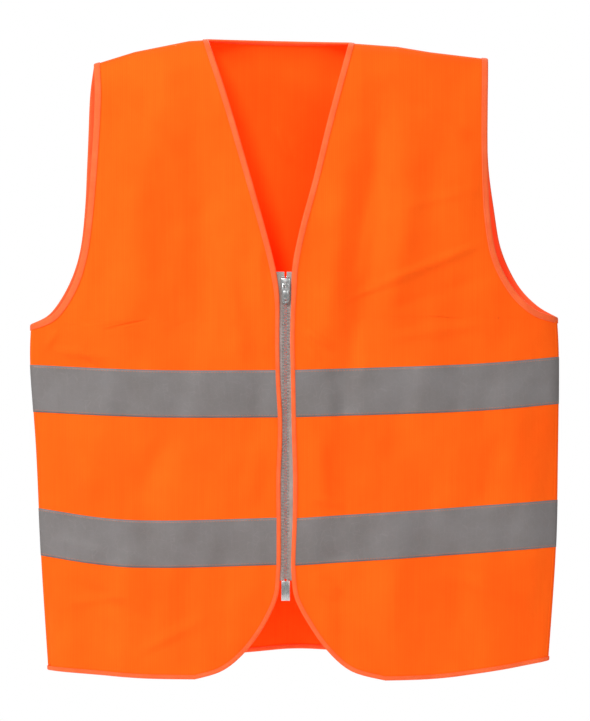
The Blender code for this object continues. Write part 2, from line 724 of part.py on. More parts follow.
def add_slider():
    front = slider_front()
    low = SLIDER_TOP - SLIDER_LENGTH
    shoulder = SLIDER_HALF_WIDTH - 0.0008
    outline = [
        (-shoulder, SLIDER_TOP), (-SLIDER_HALF_WIDTH, SLIDER_TOP - 0.0015), (-SLIDER_HALF_WIDTH, low + 0.0025),
        (-shoulder, low), (shoulder, low), (SLIDER_HALF_WIDTH, low + 0.0025),
        (SLIDER_HALF_WIDTH, SLIDER_TOP - 0.0015), (shoulder, SLIDER_TOP),
    ]
    slider = add_object("slider_body", prism(outline, front, -front), "zip_metal")
    channel = CHAIN_THICKNESS / 2 + RUNNING_GAP
    slot = ZIP_TAPE_THICKNESS / 2 + RUNNING_GAP
    cut(slider, prism(channel_outline(CHANNEL_HALF_WIDTH), -channel, channel))
    cut(slider, prism(channel_outline(SLIDER_HALF_WIDTH + 0.001), -slot, slot))
    base = -(RUNNING_GAP + TAB_THICKNESS / 2) - 0.0003
    top = LUG_HEIGHT - RUNNING_GAP - TAB_THICKNESS / 2
    half = LUG_LENGTH / 2
    inner_top, inner_half = top - LUG_BAR, half - LUG_BAR
    arch = [
        (base, half), (top - 0.0010, half), (top, half - 0.0012), (top, -half + 0.0012), (top - 0.0010, -half),
        (base, -half), (base, -inner_half), (inner_top, -inner_half), (inner_top, inner_half), (base, inner_half),
    ]
    cut(slider, side_prism(arch, LUG_WIDTH / 2), "UNION")


def add_pull_tab():
    hinge = hinge_point()
    half = TAB_THICKNESS / 2
    ring_low = TAB_WINDOW[1] + 0.0010
    outline = [
        (-TAB_HALF_WIDTH + 0.0008, 0.0007), (TAB_HALF_WIDTH - 0.0008, 0.0007), (TAB_HALF_WIDTH - 0.0003, 0),
        (TAB_HALF_WIDTH - 0.0003, -ring_low), (TAB_HALF_WIDTH, -ring_low - 0.0010),
        (TAB_HALF_WIDTH, -TAB_LENGTH + 0.0028), (TAB_HALF_WIDTH - 0.0009, -TAB_LENGTH + 0.0008),
        (TAB_HALF_WIDTH - 0.0026, -TAB_LENGTH), (-TAB_HALF_WIDTH + 0.0026, -TAB_LENGTH),
        (-TAB_HALF_WIDTH + 0.0009, -TAB_LENGTH + 0.0008), (-TAB_HALF_WIDTH, -TAB_LENGTH + 0.0028),
        (-TAB_HALF_WIDTH, -ring_low - 0.0010), (-TAB_HALF_WIDTH + 0.0003, -ring_low),
        (-TAB_HALF_WIDTH + 0.0003, 0),
    ]
    depth = hinge.y - ZIP_Y
    placed = [(x, hinge.z + z) for x, z in outline]
    tab = add_object("pull_tab", prism(placed, depth - half, depth + half), "zip_metal")
    window = rectangle(-0.0013, 0.0013, hinge.z - TAB_WINDOW[1], hinge.z - TAB_WINDOW[0])
    cut(tab, prism(window, depth - 0.003, depth + 0.003))
    eye = [(0.0012 * math.cos(a), hinge.z - TAB_LENGTH + 0.0030 + 0.0012 * math.sin(a))
           for a in np.linspace(0, 2 * math.pi, 17)[:-1]]
    cut(tab, prism(eye, depth - 0.003, depth + 0.003))
    grip = rectangle(-0.0022, 0.0022, hinge.z - TAB_LENGTH + 0.0052, hinge.z - ring_low - 0.0018)
    cut(tab, prism(grip, depth - half - GRIP_RAISE, depth), "UNION")


def add_pins_and_box():
    half = PIN_THICKNESS / 2
    for side, name in ((LEFT, "insertion_pin"), (RIGHT, "retainer_pin")):
        outline = rectangle(PIN_INNER, PIN_OUTER, PIN_BOTTOM, PIN_TOP)
        add_object(name, prism(mirrored(outline, side), -half, half), "zip_metal")
    half = BOX_THICKNESS / 2
    box = rectangle(-BOX_HALF_WIDTH, BOX_HALF_WIDTH, BOX_BOTTOM, BOX_TOP)
    made = add_object("retainer_box", prism(box, -half, half), "zip_metal")
    inside = BOX_HALF_WIDTH - BOX_WALL
    pocket = rectangle(-inside, inside, BOX_BOTTOM + BOX_WALL, BOX_TOP + 0.002)
    cut(made, prism(pocket, BOX_WALL - half, half - BOX_WALL))


def main():
    clear_scene()
    add_back()
    for side, word in ((RIGHT, "right"), (LEFT, "left")):
        add_panels(side, word)
        add_tapes(side, word)
        add_front_binding(side, word)
        add_armhole_binding(side, word)
        add_zip_tape(side, word)
        add_teeth(side, word)
        add_top_stop(side, word)
    add_neck_binding()
    add_hem_binding()
    add_pins_and_box()
    add_slider()
    add_pull_tab()


main()
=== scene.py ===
import math

import bmesh
import bpy
import numpy as np
from mathutils import Matrix, Vector


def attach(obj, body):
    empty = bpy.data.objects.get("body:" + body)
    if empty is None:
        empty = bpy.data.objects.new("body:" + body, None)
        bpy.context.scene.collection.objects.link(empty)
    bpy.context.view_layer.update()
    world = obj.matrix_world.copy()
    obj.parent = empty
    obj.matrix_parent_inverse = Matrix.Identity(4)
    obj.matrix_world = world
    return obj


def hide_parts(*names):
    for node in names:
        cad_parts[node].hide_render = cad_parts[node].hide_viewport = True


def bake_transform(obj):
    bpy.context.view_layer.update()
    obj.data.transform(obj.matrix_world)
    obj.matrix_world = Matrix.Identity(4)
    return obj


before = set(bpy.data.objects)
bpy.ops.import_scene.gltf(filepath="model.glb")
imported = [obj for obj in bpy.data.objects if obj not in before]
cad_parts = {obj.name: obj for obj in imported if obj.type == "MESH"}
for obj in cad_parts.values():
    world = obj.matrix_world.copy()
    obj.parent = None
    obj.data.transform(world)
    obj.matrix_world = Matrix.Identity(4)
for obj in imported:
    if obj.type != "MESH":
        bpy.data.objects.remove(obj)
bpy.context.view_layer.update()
print("frame loaded")

right, left = -1, 1  # the wearer's right front lies at -X
front, back = -1, 1
backPanel = 0
mm = 0.001

# ---- the shell the cloth hangs on, as (x, z) outlines in metres ----

shell = {
    "depth": {front: 0.036, back: 0.034},
    "roll": 0.040,       # drop over which it rounds over the shoulder
    "neckBow": 0.0200,   # how far the back of the neck bows backwards
    "neckLift": 0.0010,
    "seamGap": 0.0002,
    "zipX": -0.0095,
    "zipY": -0.0333,
}

neckPoint = {right: (-0.0925, 0.0000), left: (0.0585, -0.0035)}
tip = {right: (-0.2125, -0.0260), left: (0.2048, -0.0203)}
sideSeam = {
    right: [(-0.2803, -0.3030), (-0.2812, -0.3460), (-0.2750, -0.4360), (-0.2697, -0.5490), (-0.2620, -0.6690)],
    left: [(0.2793, -0.2957), (0.2812, -0.3400), (0.2803, -0.4400), (0.2780, -0.5420), (0.2700, -0.6590)],
}
shoulderLine = {
    right: [tip[right], (-0.1700, -0.0128), (-0.1120, -0.0012), neckPoint[right]],
    left: [neckPoint[left], (0.1090, -0.0072), (0.1440, -0.0130), tip[left]],
}
armhole = {
    (right, front): [
        tip[right], (-0.2110, -0.0600), (-0.2140, -0.1200), (-0.2190, -0.1800), (-0.2255, -0.2280),
        (-0.2365, -0.2630), (-0.2560, -0.2920), (-0.2803, -0.3030),
    ],
    (right, back): [
        tip[right], (-0.2175, -0.0600), (-0.2200, -0.1200), (-0.2230, -0.1800), (-0.2290, -0.2280),
        (-0.2420, -0.2650), (-0.2600, -0.2920), (-0.2803, -0.3030),
    ],
    (left, front): [
        tip[left], (0.2040, -0.0600), (0.2040, -0.1300), (0.2065, -0.1850), (0.2140, -0.2300),
        (0.2310, -0.2640), (0.2540, -0.2870), (0.2793, -0.2957),
    ],
    (left, back): [
        tip[left], (0.2045, -0.0600), (0.2060, -0.1300), (0.2125, -0.1820), (0.2200, -0.2230),
        (0.2370, -0.2600), (0.2580, -0.2830), (0.2793, -0.2957),
    ],
}
# neckline, zip edge and rounded corner of each front; the cloth beside the zip wanders a little
frontEdge = {
    right: [
        neckPoint[right], (-0.0695, -0.0700), (-0.0410, -0.1680), (-0.0254, -0.2250), (-0.0190, -0.2550),
        (-0.0168, -0.2800), (-0.0170, -0.3200), (-0.0162, -0.3600), (-0.0138, -0.4120), (-0.0156, -0.4650),
        (-0.0154, -0.5080), (-0.0154, -0.5450), (-0.0160, -0.5650), (-0.0192, -0.5920), (-0.0345, -0.6240),
        (-0.0550, -0.6510), (-0.0780, -0.6690), (-0.1060, -0.6775),
    ],
    left: [
        neckPoint[left], (0.0365, -0.0850), (0.0205, -0.1500), (0.0070, -0.2000), (-0.0011, -0.2400),
        (-0.0026, -0.2750), (-0.0036, -0.3200), (-0.0028, -0.3600), (-0.0020, -0.4120), (-0.0006, -0.4650),
        (-0.0010, -0.5080), (-0.0024, -0.5450), (-0.0024, -0.5650), (0.0012, -0.5920), (0.0165, -0.6210),
        (0.0360, -0.6480), (0.0610, -0.6690), (0.0960, -0.6785),
    ],
}
frontHem = {
    right: [(-0.2620, -0.6690), (-0.2175, -0.6725), (-0.1600, -0.6765), (-0.1060, -0.6775)],
    left: [(0.2700, -0.6590), (0.2190, -0.6680), (0.1550, -0.6765), (0.0960, -0.6785)],
}
backHem = [
    (-0.2620, -0.6690), (-0.1600, -0.6610), (-0.0500, -0.6520), (0.0000, -0.6480), (0.0600, -0.6510),
    (0.1600, -0.6580), (0.2700, -0.6590),
]
bandLine = {
    (right, "Upper"): [(-0.2790, -0.3705), (-0.1500, -0.3760), (-0.0157, -0.3760)],
    (left, "Upper"): [(-0.0033, -0.3760), (0.1800, -0.3700), (0.2800, -0.3620)],
    (right, "Lower"): [(-0.2705, -0.5230), (-0.1700, -0.5350), (-0.0157, -0.5320)],
    (left, "Lower"): [(-0.0033, -0.5330), (0.1500, -0.5230), (0.2780, -0.5140)],
    (backPanel, "Upper"): [(-0.2790, -0.3705), (0.0000, -0.3700), (0.2800, -0.3620)],
    (backPanel, "Lower"): [(-0.2705, -0.5230), (0.0000, -0.5250), (0.2780, -0.5140)],
}


def curveThrough(points, step=0.004):
    p = np.array([points[0], *points, points[-1]], float)
    found = []
    for p0, p1, p2, p3 in zip(p, p[1:], p[2:], p[3:]):
        count = max(2, round(float(np.linalg.norm(p2 - p1)) / step))
        t = np.arange(count)[:, None] / count
        cubic = (3 * p1 - p0 - 3 * p2 + p3) * t**3
        found.append(0.5 * (2 * p1 + (p2 - p0) * t + (2 * p0 - 5 * p1 + 4 * p2 - p3) * t**2 + cubic))
    return np.vstack([*found, p[-1:]])


def xAt(curve, z):
    return np.interp(z, curve[::-1, 1], curve[::-1, 0])


def zAt(curve, x):
    inOrder = curve[np.argsort(curve[:, 0], kind="stable")]
    return np.interp(x, inOrder[:, 0], inOrder[:, 1])


def neckDrop(share):
    bow = shell["neckBow"] * np.sin(math.pi * share) / shell["depth"][back]
    return shell["roll"] * (1 - np.sqrt(1 - bow**2))


def shellTop():
    # the shoulder line, raised between the neck points so that the neck edge runs nearly straight
    start, end = np.array(neckPoint[right]), np.array(neckPoint[left])
    share = np.linspace(0, 1, 19)[1:-1]
    between = start + (end - start) * share[:, None]
    between[:, 1] += shell["neckLift"] * np.sin(math.pi * share) + neckDrop(share)
    return np.vstack([shoulderLine[right], between, shoulderLine[left]])


seamCurve = {side: curveThrough(sideSeam[side]) for side in (right, left)}
shoulderCurve = shellTop()
hemCurve = {side: curveThrough(frontHem[side]) for side in (right, left)}
hemCurve[backPanel] = curveThrough(backHem)
edgeCurve = {side: curveThrough(frontEdge[side]) for side in (right, left)}
armholeCurve = {key: curveThrough(points) for key, points in armhole.items()}
bandCurve = {key: curveThrough(points) for key, points in bandLine.items()}


def easeIn(value, low, high):
    t = np.clip((value - low) / (high - low), 0, 1)
    return t * t * (3 - 2 * t)


def tubeAt(z):
    a, b = xAt(seamCurve[right], z), xAt(seamCurve[left], z)
    return (a + b) / 2, (b - a) / 2


def bowSquared(x, z, face):
    middle, half = tubeAt(z)
    drop = np.minimum(1, (zAt(shoulderCurve, x) - z) / shell["roll"])
    depth = np.where(np.asarray(face) == back, shell["depth"][back], shell["depth"][front])
    return depth**2 * (1 - ((x - middle) / half) ** 2) * (1 - (1 - drop) ** 2)


def shellSlope(x, y, z, face, step=0.003):
    byX = (bowSquared(x + step, z, face) - bowSquared(x - step, z, face)) / (2 * step)
    byZ = (bowSquared(x, z + step, face) - bowSquared(x, z - step, face)) / (2 * step)
    return np.stack([-byX, 2 * y, -byZ], -1)


def unit(v):
    return v / np.linalg.norm(v, axis=-1, keepdims=True)


# ---- how the cloth falls: soft folds, creases and puckers along the sewn bands ----

# each fold runs from (x, z) to (x, z), with its height and half width in millimetres, and its lean
folds = {
    front: [
        (0.0500, -0.2790, 0.2050, -0.2160, 3.6, 4.2, 0.8),
        (-0.2600, -0.3310, -0.1900, -0.3390, 2.2, 4.0, 0.6),
        (-0.0250, -0.3060, -0.0330, -0.3400, 2.0, 6, 0.4),
        (0.0080, -0.3080, 0.0420, -0.3300, 3.0, 4.0, 0.8),
        (0.0120, -0.4860, 0.0560, -0.4960, 2.0, 4.5, 0.6),
        (-0.2550, -0.5320, -0.2000, -0.5480, 1.4, 8, 0.3),
        (-0.2450, -0.6000, -0.1700, -0.5900, 2.0, 4.5, 0.5),
        (0.0150, -0.5760, 0.0450, -0.5960, 2.2, 4.5, 0.6),
        (0.0820, -0.1600, 0.0650, -0.2700, 3.4, 9, 0.8),
        (0.0900, -0.2900, 0.2100, -0.2500, -2.0, 9, 0.0),
        (0.1122, -0.1808, 0.1973, -0.1596, 1.7, 6, 0.5),
        (0.0910, -0.3191, 0.2080, -0.3032, 2.0, 6, 0.6),
        (0.0950, -0.0213, 0.0500, -0.3950, -8.5, 16, 0.5),
        (0.1300, -0.0500, 0.0950, -0.3400, 5.5, 18, 0.0),
        (0.0560, -0.1300, 0.0300, -0.3300, 3.8, 13, 0.0),
        (-0.2654, -0.3298, -0.2495, -0.3085, 2.0, 4, 0.5),
        (-0.2335, -0.3245, -0.2016, -0.3489, 2.5, 4, 0.6),
        (-0.0346, -0.2000, -0.0346, -0.3000, 2.3, 7, 0.0),
        (0.0112, -0.3245, 0.0271, -0.3404, 2.0, 3, 0.4),
        (0.0400, -0.3400, 0.0560, -0.4100, -3.0, 9, 0.0),
        (0.0750, -0.2800, 0.0700, -0.3700, 2.5, 8, 0.0),
        (0.0150, -0.5650, 0.0500, -0.5900, 3.0, 6, 0.5),
        (0.0200, -0.5500, 0.0620, -0.5480, -1.8, 9, 0.0),
        (-0.1350, -0.4150, -0.1700, -0.4950, -4.0, 14, 0.3),
        (-0.0350, -0.4200, -0.0500, -0.5000, 3.2, 11, 0.0),
        (0.0250, -0.4200, 0.0350, -0.5050, 3.0, 9, 0.0),
        (-0.0700, -0.2500, -0.0550, -0.3500, 3.0, 10, 0.4),
        (-0.2400, -0.4000, -0.2100, -0.5000, 3.0, 12, 0.0),
        (0.2200, -0.4100, 0.2000, -0.5000, -3.5, 14, 0.0),
        (0.1500, -0.5650, 0.2500, -0.6000, 2.6, 8, 0.5),
        (-0.2450, -0.5700, -0.1500, -0.6250, -2.8, 9, 0.4),
        (-0.0900, -0.6100, -0.1700, -0.6500, 2.4, 7, 0.5),
        (0.1250, -0.0700, 0.1850, -0.1100, 2.0, 8, 0.4),
        (-0.1900, -0.0650, -0.1200, -0.1250, 2.2, 9, 0.3),
        (-0.1050, -0.0700, -0.0930, -0.3500, -5.5, 18, 0.0),
        (-0.1700, -0.0600, -0.1650, -0.3300, 3.8, 22, 0.0),
        (-0.1700, -0.5300, -0.1850, -0.7000, 5.5, 17, 0.0),
        (-0.1150, -0.5400, -0.1100, -0.7000, -4.6, 15, 0.0),
        (-0.0550, -0.5600, -0.0700, -0.6900, 3.8, 13, 0.0),
        (0.0450, -0.5600, 0.0560, -0.6900, -3.8, 12, 0.0),
        (0.1000, -0.5400, 0.1100, -0.7000, 5.5, 18, 0.0),
        (0.1750, -0.5400, 0.1900, -0.7000, -5.0, 18, 0.0),
        (-0.2100, -0.4150, -0.1100, -0.4950, 3.4, 18, 0.0),
        (0.0900, -0.4200, 0.1700, -0.4950, -3.8, 18, 0.0),
    ],
    back: [
        (-0.0207, -0.0900, -0.0048, -0.1330, -2.3, 4, 0.3),
        (-0.0048, -0.1000, 0.0150, -0.1400, -1.4, 5, 0.0),
        (-0.1200, -0.0800, -0.1000, -0.3400, 5.0, 22, 0.0),
        (0.1200, -0.0800, 0.1050, -0.3400, 4.6, 22, 0.0),
        (0.0100, -0.1500, 0.0000, -0.3500, -5.5, 24, 0.0),
        (-0.0800, -0.5300, -0.0900, -0.7000, 5.0, 18, 0.0),
        (0.0700, -0.5400, 0.0900, -0.7000, -4.6, 18, 0.0),
        (-0.1800, -0.4200, -0.0800, -0.5000, 3.2, 18, 0.0),
        (0.0700, -0.4900, 0.1900, -0.4100, 3.2, 18, 0.0),
        (0.1150, -0.2500, 0.1900, -0.2300, 1.7, 7, 0.4),
    ],
}
# broad waves over the whole cloth: height in millimetres, waves per metre across and down, start
waves = [
    (1.10, 9.0, 1.5, 0.3), (0.80, 13.5, -2.5, 1.9), (0.42, 21.0, 4.0, 4.1),
    (0.50, 5.0, 7.0, 2.2), (0.15, 34.0, 9.0, 0.7), (0.14, 17.0, 26.0, 5.2),
]
pucker = {"height": 0.20, "pitch": 0.0135, "reach": 0.0040}


def ridge(x, z, fold):
    x0, z0, x1, z1, height, width, lean = fold
    run = np.array((x1 - x0, z1 - z0))
    length = np.linalg.norm(run)
    run = run / length
    along = ((x - x0) * run[0] + (z - z0) * run[1]) / length
    off = ((x - x0) * -run[1] + (z - z0) * run[0]) / (width * mm)
    ends = easeIn(along, -0.05, 0.30) * (1 - easeIn(along, 0.70, 1.05))
    return height * mm * ends * np.exp(-off**2) * (1 + lean * np.tanh(off))


def relief(x, z, face):
    x, z = np.broadcast_arrays(np.asarray(x, float), np.asarray(z, float))
    face = np.broadcast_to(face, x.shape)
    total = np.zeros(x.shape)
    for key in (front, back):
        here = sum(ridge(x, z, fold) for fold in folds[key])
        for height, across, down, start in waves:
            here = here + height * mm * np.sin(2 * math.pi * (across * x * key + down * z) + start)
        if key == front:
            here = here * easeIn(np.abs(x - shell["zipX"]), 0.013, 0.034)
        for word in ("Upper", "Lower"):
            if key == back:
                middle = zAt(bandCurve[backPanel, word], x)
            else:
                beside = [zAt(bandCurve[side, word], x) for side in (right, left)]
                middle = np.where(x < shell["zipX"], *beside)
            for edge in (-1, 1):
                gap = (z - middle - edge * 0.0245) / pucker["reach"]
                wave = np.sin(2 * math.pi * x / pucker["pitch"] + 2.1 * np.sin(x * 61 + edge))
                here = here + pucker["height"] * mm * np.exp(-gap**2) * wave * 0.8
        total = np.where(face == key, here, total)
    middle, half = tubeAt(z)
    sine = np.clip((x - middle) / half, -1, 1)
    total = total * easeIn(np.sqrt(1 - sine**2), 0.08, 0.36)
    return total * easeIn(zAt(shoulderCurve, x) - z, 0.006, 0.045)


def clothNormal(x, y, z, face, step=0.002):
    normal = unit(shellSlope(x, y, z, face))
    byX = (relief(x + step, z, face) - relief(x - step, z, face)) / (2 * step)
    byZ = (relief(x, z + step, face) - relief(x, z - step, face)) / (2 * step)
    lean = np.stack([byX, np.zeros_like(byX), byZ], -1)
    lean = lean - normal * (lean * normal).sum(-1, keepdims=True)
    return normal, unit(normal - lean)


def onCloth(x, z, face, out=0.0):
    x, z = np.broadcast_arrays(np.asarray(x, float), np.asarray(z, float))
    y = face * np.sqrt(np.maximum(shell["seamGap"] ** 2, bowSquared(x, z, face)))
    normal, bent = clothNormal(x, y, z, face)
    at = np.stack([x, y, z], -1) + normal * relief(x, z, face)[..., None] + bent * out
    return at, bent


def settled(at, face):
    # brings points near the shell onto it, and gives the cloth's place and normal there
    for _ in range(5):
        x, y, z = at.T
        slope = shellSlope(x, y, z, face)
        excess = y * y - bowSquared(x, z, face)
        at = at - slope * (excess / (slope**2).sum(1))[:, None]
    x, y, z = at.T
    normal, bent = clothNormal(x, y, z, face)
    return at + normal * relief(x, z, face)[:, None], bent


# ---- panel outlines and grids ----

def faceOf(panel):
    return back if panel == backPanel else front


def topZ(x, face):
    start, end = neckPoint[right][0], neckPoint[left][0]
    share = np.clip((x - start) / (end - start), 0, 1)
    return zAt(shoulderCurve, x) - neckDrop(share) * (face == back)


def sideEdge(side, face, z):
    armpit = sideSeam[side][0][1]
    return np.where(z > armpit, xAt(armholeCurve[side, face], z), xAt(seamCurve[side], z))


def panelEdges(panel, z):
    if panel == backPanel:
        return sideEdge(right, back, z), sideEdge(left, back, z)
    edges = sideEdge(panel, front, z), xAt(edgeCurve[panel], z)
    return edges if panel == right else edges[::-1]


def turns(panel, z):
    middle, half = tubeAt(z)
    return [np.arcsin(np.clip((x - middle) / half, -1, 1)) for x in panelEdges(panel, z)]


def xOfShare(panel, z, share):
    start, end = turns(panel, z)
    middle, half = tubeAt(z)
    return middle + half * np.sin(start + (end - start) * share)


def shareOfX(panel, z, x):
    start, end = turns(panel, z)
    middle, half = tubeAt(z)
    return (np.arcsin(np.clip((x - middle) / half, -1, 1)) - start) / (end - start)


settlePasses = 24


def panelPoint(panel, share, down):
    # share runs across a panel and down runs from its top edge to its hem
    share, down = np.broadcast_arrays(np.asarray(share, float), np.asarray(down, float))
    x = xOfShare(panel, np.full(share.shape, -0.3), share)
    z = topZ(x, faceOf(panel)) * (1 - down) + zAt(hemCurve[panel], x) * down
    for _ in range(settlePasses):
        z = z / 2 + (topZ(x, faceOf(panel)) * (1 - down) + zAt(hemCurve[panel], x) * down) / 2
        x = xOfShare(panel, z, share)
    return x, z


panelHeight = 0.66
armpitRow = 0.4313  # share of the way down at which the armholes end
rollRows = shell["roll"] / panelHeight * (1 - np.cos(np.radians(np.linspace(0, 90, 19))))
panelRows = np.concatenate([
    rollRows, np.linspace(rollRows[-1], 0.39, 70)[1:], np.linspace(0.39, armpitRow, 26)[1:],
    np.linspace(armpitRow, 0.94, 108)[1:], np.linspace(0.94, 1.0, 22)[1:],
])
armholeRows = panelRows[panelRows <= armpitRow + 1e-9]


# ---- making objects ----

def gridMesh(name, at, metres, outward):
    # a grid with its corner (i, j) at at[i, j], its own UV in metres, facing outward
    across, down = at.shape[0] - 1, at.shape[1] - 1
    bm = bmesh.new()
    bmesh.ops.create_grid(bm, x_segments=across, y_segments=down, size=0.5)
    mesh = bpy.data.meshes.new(name)
    bm.to_mesh(mesh)
    bm.free()
    flat = np.empty(len(mesh.vertices) * 3)
    mesh.vertices.foreach_get("co", flat)
    i = np.rint((flat[0::3] + 0.5) * across).astype(int)
    j = np.rint((flat[1::3] + 0.5) * down).astype(int)
    mesh.vertices.foreach_set("co", at[i, j].ravel())
    corner = np.empty(len(mesh.loops), int)
    mesh.loops.foreach_get("vertex_index", corner)
    layer = mesh.uv_layers.new(name="metres")
    layer.data.foreach_set("uv", metres[i, j][corner].ravel())
    facing = np.cross(at[1:, :-1] - at[:-1, :-1], at[:-1, 1:] - at[:-1, :-1])
    if (facing * outward[:-1, :-1]).sum() < 0:
        mesh.flip_normals()
    mesh.update()
    return mesh


def addPiece(name, mesh, material, smooth=60):
    made = bpy.data.objects.new(name, mesh)
    bpy.context.scene.collection.objects.link(made)
    mesh.materials.clear()
    mesh.materials.append(material)
    if smooth:
        mesh.shade_smooth()
        mesh.set_sharp_from_angle(angle=math.radians(smooth))
    return made


def pieceFromBmesh(name, bm, material, smooth=40):
    mesh = bpy.data.meshes.new(name)
    bm.to_mesh(mesh)
    bm.free()
    return addPiece(name, mesh, material, smooth)


def gathered(shapes, batch=30):
    # makes many small shapes a few at a time, since operators slow down as a mesh grows
    whole, few, scratch = bmesh.new(), bmesh.new(), bpy.data.meshes.new("scratch")
    for count, shape in enumerate(shapes, 1):
        shape(few)
        if count % batch == 0 or count == len(shapes):
            few.to_mesh(scratch)
            whole.from_mesh(scratch)
            few.clear()
    few.free()
    bpy.data.meshes.remove(scratch)
    return whole


def thicken(made, thickness):
    solid = made.modifiers.new("clothThickness", "SOLIDIFY")
    solid.thickness = thickness
    solid.offset = -1
    return made


# ---- node helpers and shared effects ----

def addNode(tree, kind, inputs=None, **values):
    made = tree.nodes.new(kind)
    for key, value in values.items():
        setattr(made, key, value)
    for key, value in (inputs or {}).items():
        if isinstance(value, bpy.types.NodeSocket):
            tree.links.new(value, made.inputs[key])
        else:
            made.inputs[key].default_value = value
    return made


def calc(tree, operation, a, b=0.0, c=0.0):
    made = addNode(tree, "ShaderNodeMath", {0: a, 1: b, 2: c}, operation=operation)
    return made.outputs[0]


def newGroup(name, takes, gives):
    tree = bpy.data.node_groups.new(name, "ShaderNodeTree")
    for kind, sockets in (("INPUT", takes), ("OUTPUT", gives)):
        for socket, socketType, default in sockets:
            made = tree.interface.new_socket(socket, in_out=kind, socket_type=f"NodeSocket{socketType}")
            if default is not None:
                made.default_value = default
    inside = tree.nodes.new("NodeGroupInput").outputs
    outside = tree.nodes.new("NodeGroupOutput").inputs
    return tree, inside, outside


def makeTone():
    # large soft patches and fine grain between two colours
    tree, given, out = newGroup(
        "clothTone",
        [("Vector", "Vector", None), ("Light", "Color", None), ("Deep", "Color", None),
         ("Patch Scale", "Float", 14.0), ("Streak", "Float", 0.3)],
        [("Color", "Color", None), ("Patch", "Float", None)],
    )
    patch = addNode(tree, "ShaderNodeTexNoise", {"Vector": given["Vector"], "Scale": given["Patch Scale"],
                                                 "Detail": 3.0, "Roughness": 0.55})
    squeezed = addNode(tree, "ShaderNodeVectorMath", {0: given["Vector"], 1: (420.0, 9.0, 9.0)},
                       operation="MULTIPLY")
    streak = addNode(tree, "ShaderNodeTexNoise", {"Vector": squeezed.outputs[0], "Scale": 1.0, "Detail": 2.0})
    share = calc(tree, "MULTIPLY_ADD", calc(tree, "SUBTRACT", streak.outputs["Fac"], 0.5), given["Streak"],
                 patch.outputs["Fac"])
    spread = addNode(tree, "ShaderNodeMapRange", {"Value": share, "From Min": 0.30, "From Max": 0.70})
    mixed = addNode(tree, "ShaderNodeMix", {0: spread.outputs[0], 6: given["Light"], 7: given["Deep"]},
                    data_type="RGBA")
    tree.links.new(mixed.outputs[2], out["Color"])
    tree.links.new(spread.outputs[0], out["Patch"])
    return tree


def makeThreads():
    # rows of loops or threads: ribs across, stitches along, each in metres; the gap output is a painted shade mask
    # for the hollows between them
    tree, given, out = newGroup(
        "threadRows",
        [("Vector", "Vector", None), ("Rib Width", "Float", 0.0014), ("Stitch Height", "Float", 0.0009),
         ("Slant", "Float", 0.35)],
        [("Height", "Float", None), ("Gap Shade", "Float", None)],
    )
    axes = addNode(tree, "ShaderNodeSeparateXYZ", {0: given["Vector"]})
    rib = calc(tree, "MULTIPLY", calc(tree, "DIVIDE", axes.outputs[0], given["Rib Width"]), 2 * math.pi)
    ribWave = calc(tree, "SINE", rib)
    lean = calc(tree, "MULTIPLY", ribWave, given["Slant"])
    stitch = calc(tree, "ADD", calc(tree, "DIVIDE", axes.outputs[1], given["Stitch Height"]), lean)
    stitchWave = calc(tree, "SINE", calc(tree, "MULTIPLY", stitch, 2 * math.pi))
    height = calc(tree, "MULTIPLY_ADD", stitchWave, 0.22, calc(tree, "MULTIPLY_ADD", ribWave, 0.28, 0.5))
    gap = addNode(tree, "ShaderNodeMapRange", {"Value": height, "From Min": 0.30, "From Max": 0.08})
    tree.links.new(height, out["Height"])
    tree.links.new(gap.outputs[0], out["Gap Shade"])
    return tree


def makeHandled():
    # fine scratches and dulled patches of a handled metal
    tree, given, out = newGroup(
        "handledMetal",
        [("Vector", "Vector", None), ("Scratch Scale", "Float", 900.0), ("Dull", "Float", 0.2)],
        [("Roughness", "Float", None), ("Scratch", "Float", None)],
    )
    drawn = addNode(tree, "ShaderNodeVectorMath", {0: given["Vector"], 1: (1.0, 1.0, 0.16)}, operation="MULTIPLY")
    fine = addNode(tree, "ShaderNodeTexNoise", {"Vector": drawn.outputs[0], "Scale": given["Scratch Scale"],
                                                "Detail": 3.0, "Roughness": 0.6})
    patch = addNode(tree, "ShaderNodeTexNoise", {"Vector": given["Vector"], "Scale": 160.0, "Detail": 2.0})
    rough = calc(tree, "MULTIPLY_ADD", patch.outputs["Fac"], given["Dull"], 0.12)
    rough = calc(tree, "MULTIPLY_ADD", fine.outputs["Fac"], 0.14, rough)
    tree.links.new(rough, out["Roughness"])
    tree.links.new(fine.outputs["Fac"], out["Scratch"])
    return tree


tone, threads, handled = makeTone(), makeThreads(), makeHandled()


def newMaterial(name):
    made = bpy.data.materials.new(name)
    made.use_nodes = True
    return made, made.node_tree, made.node_tree.nodes["Principled BSDF"]


def groupNode(tree, group, inputs):
    made = addNode(tree, "ShaderNodeGroup", node_tree=group)
    for key, value in inputs.items():
        if isinstance(value, bpy.types.NodeSocket):
            tree.links.new(value, made.inputs[key])
        else:
            made.inputs[key].default_value = value
    return made


def setSockets(shader, values):
    for key, value in values.items():
        shader.inputs[key].default_value = value


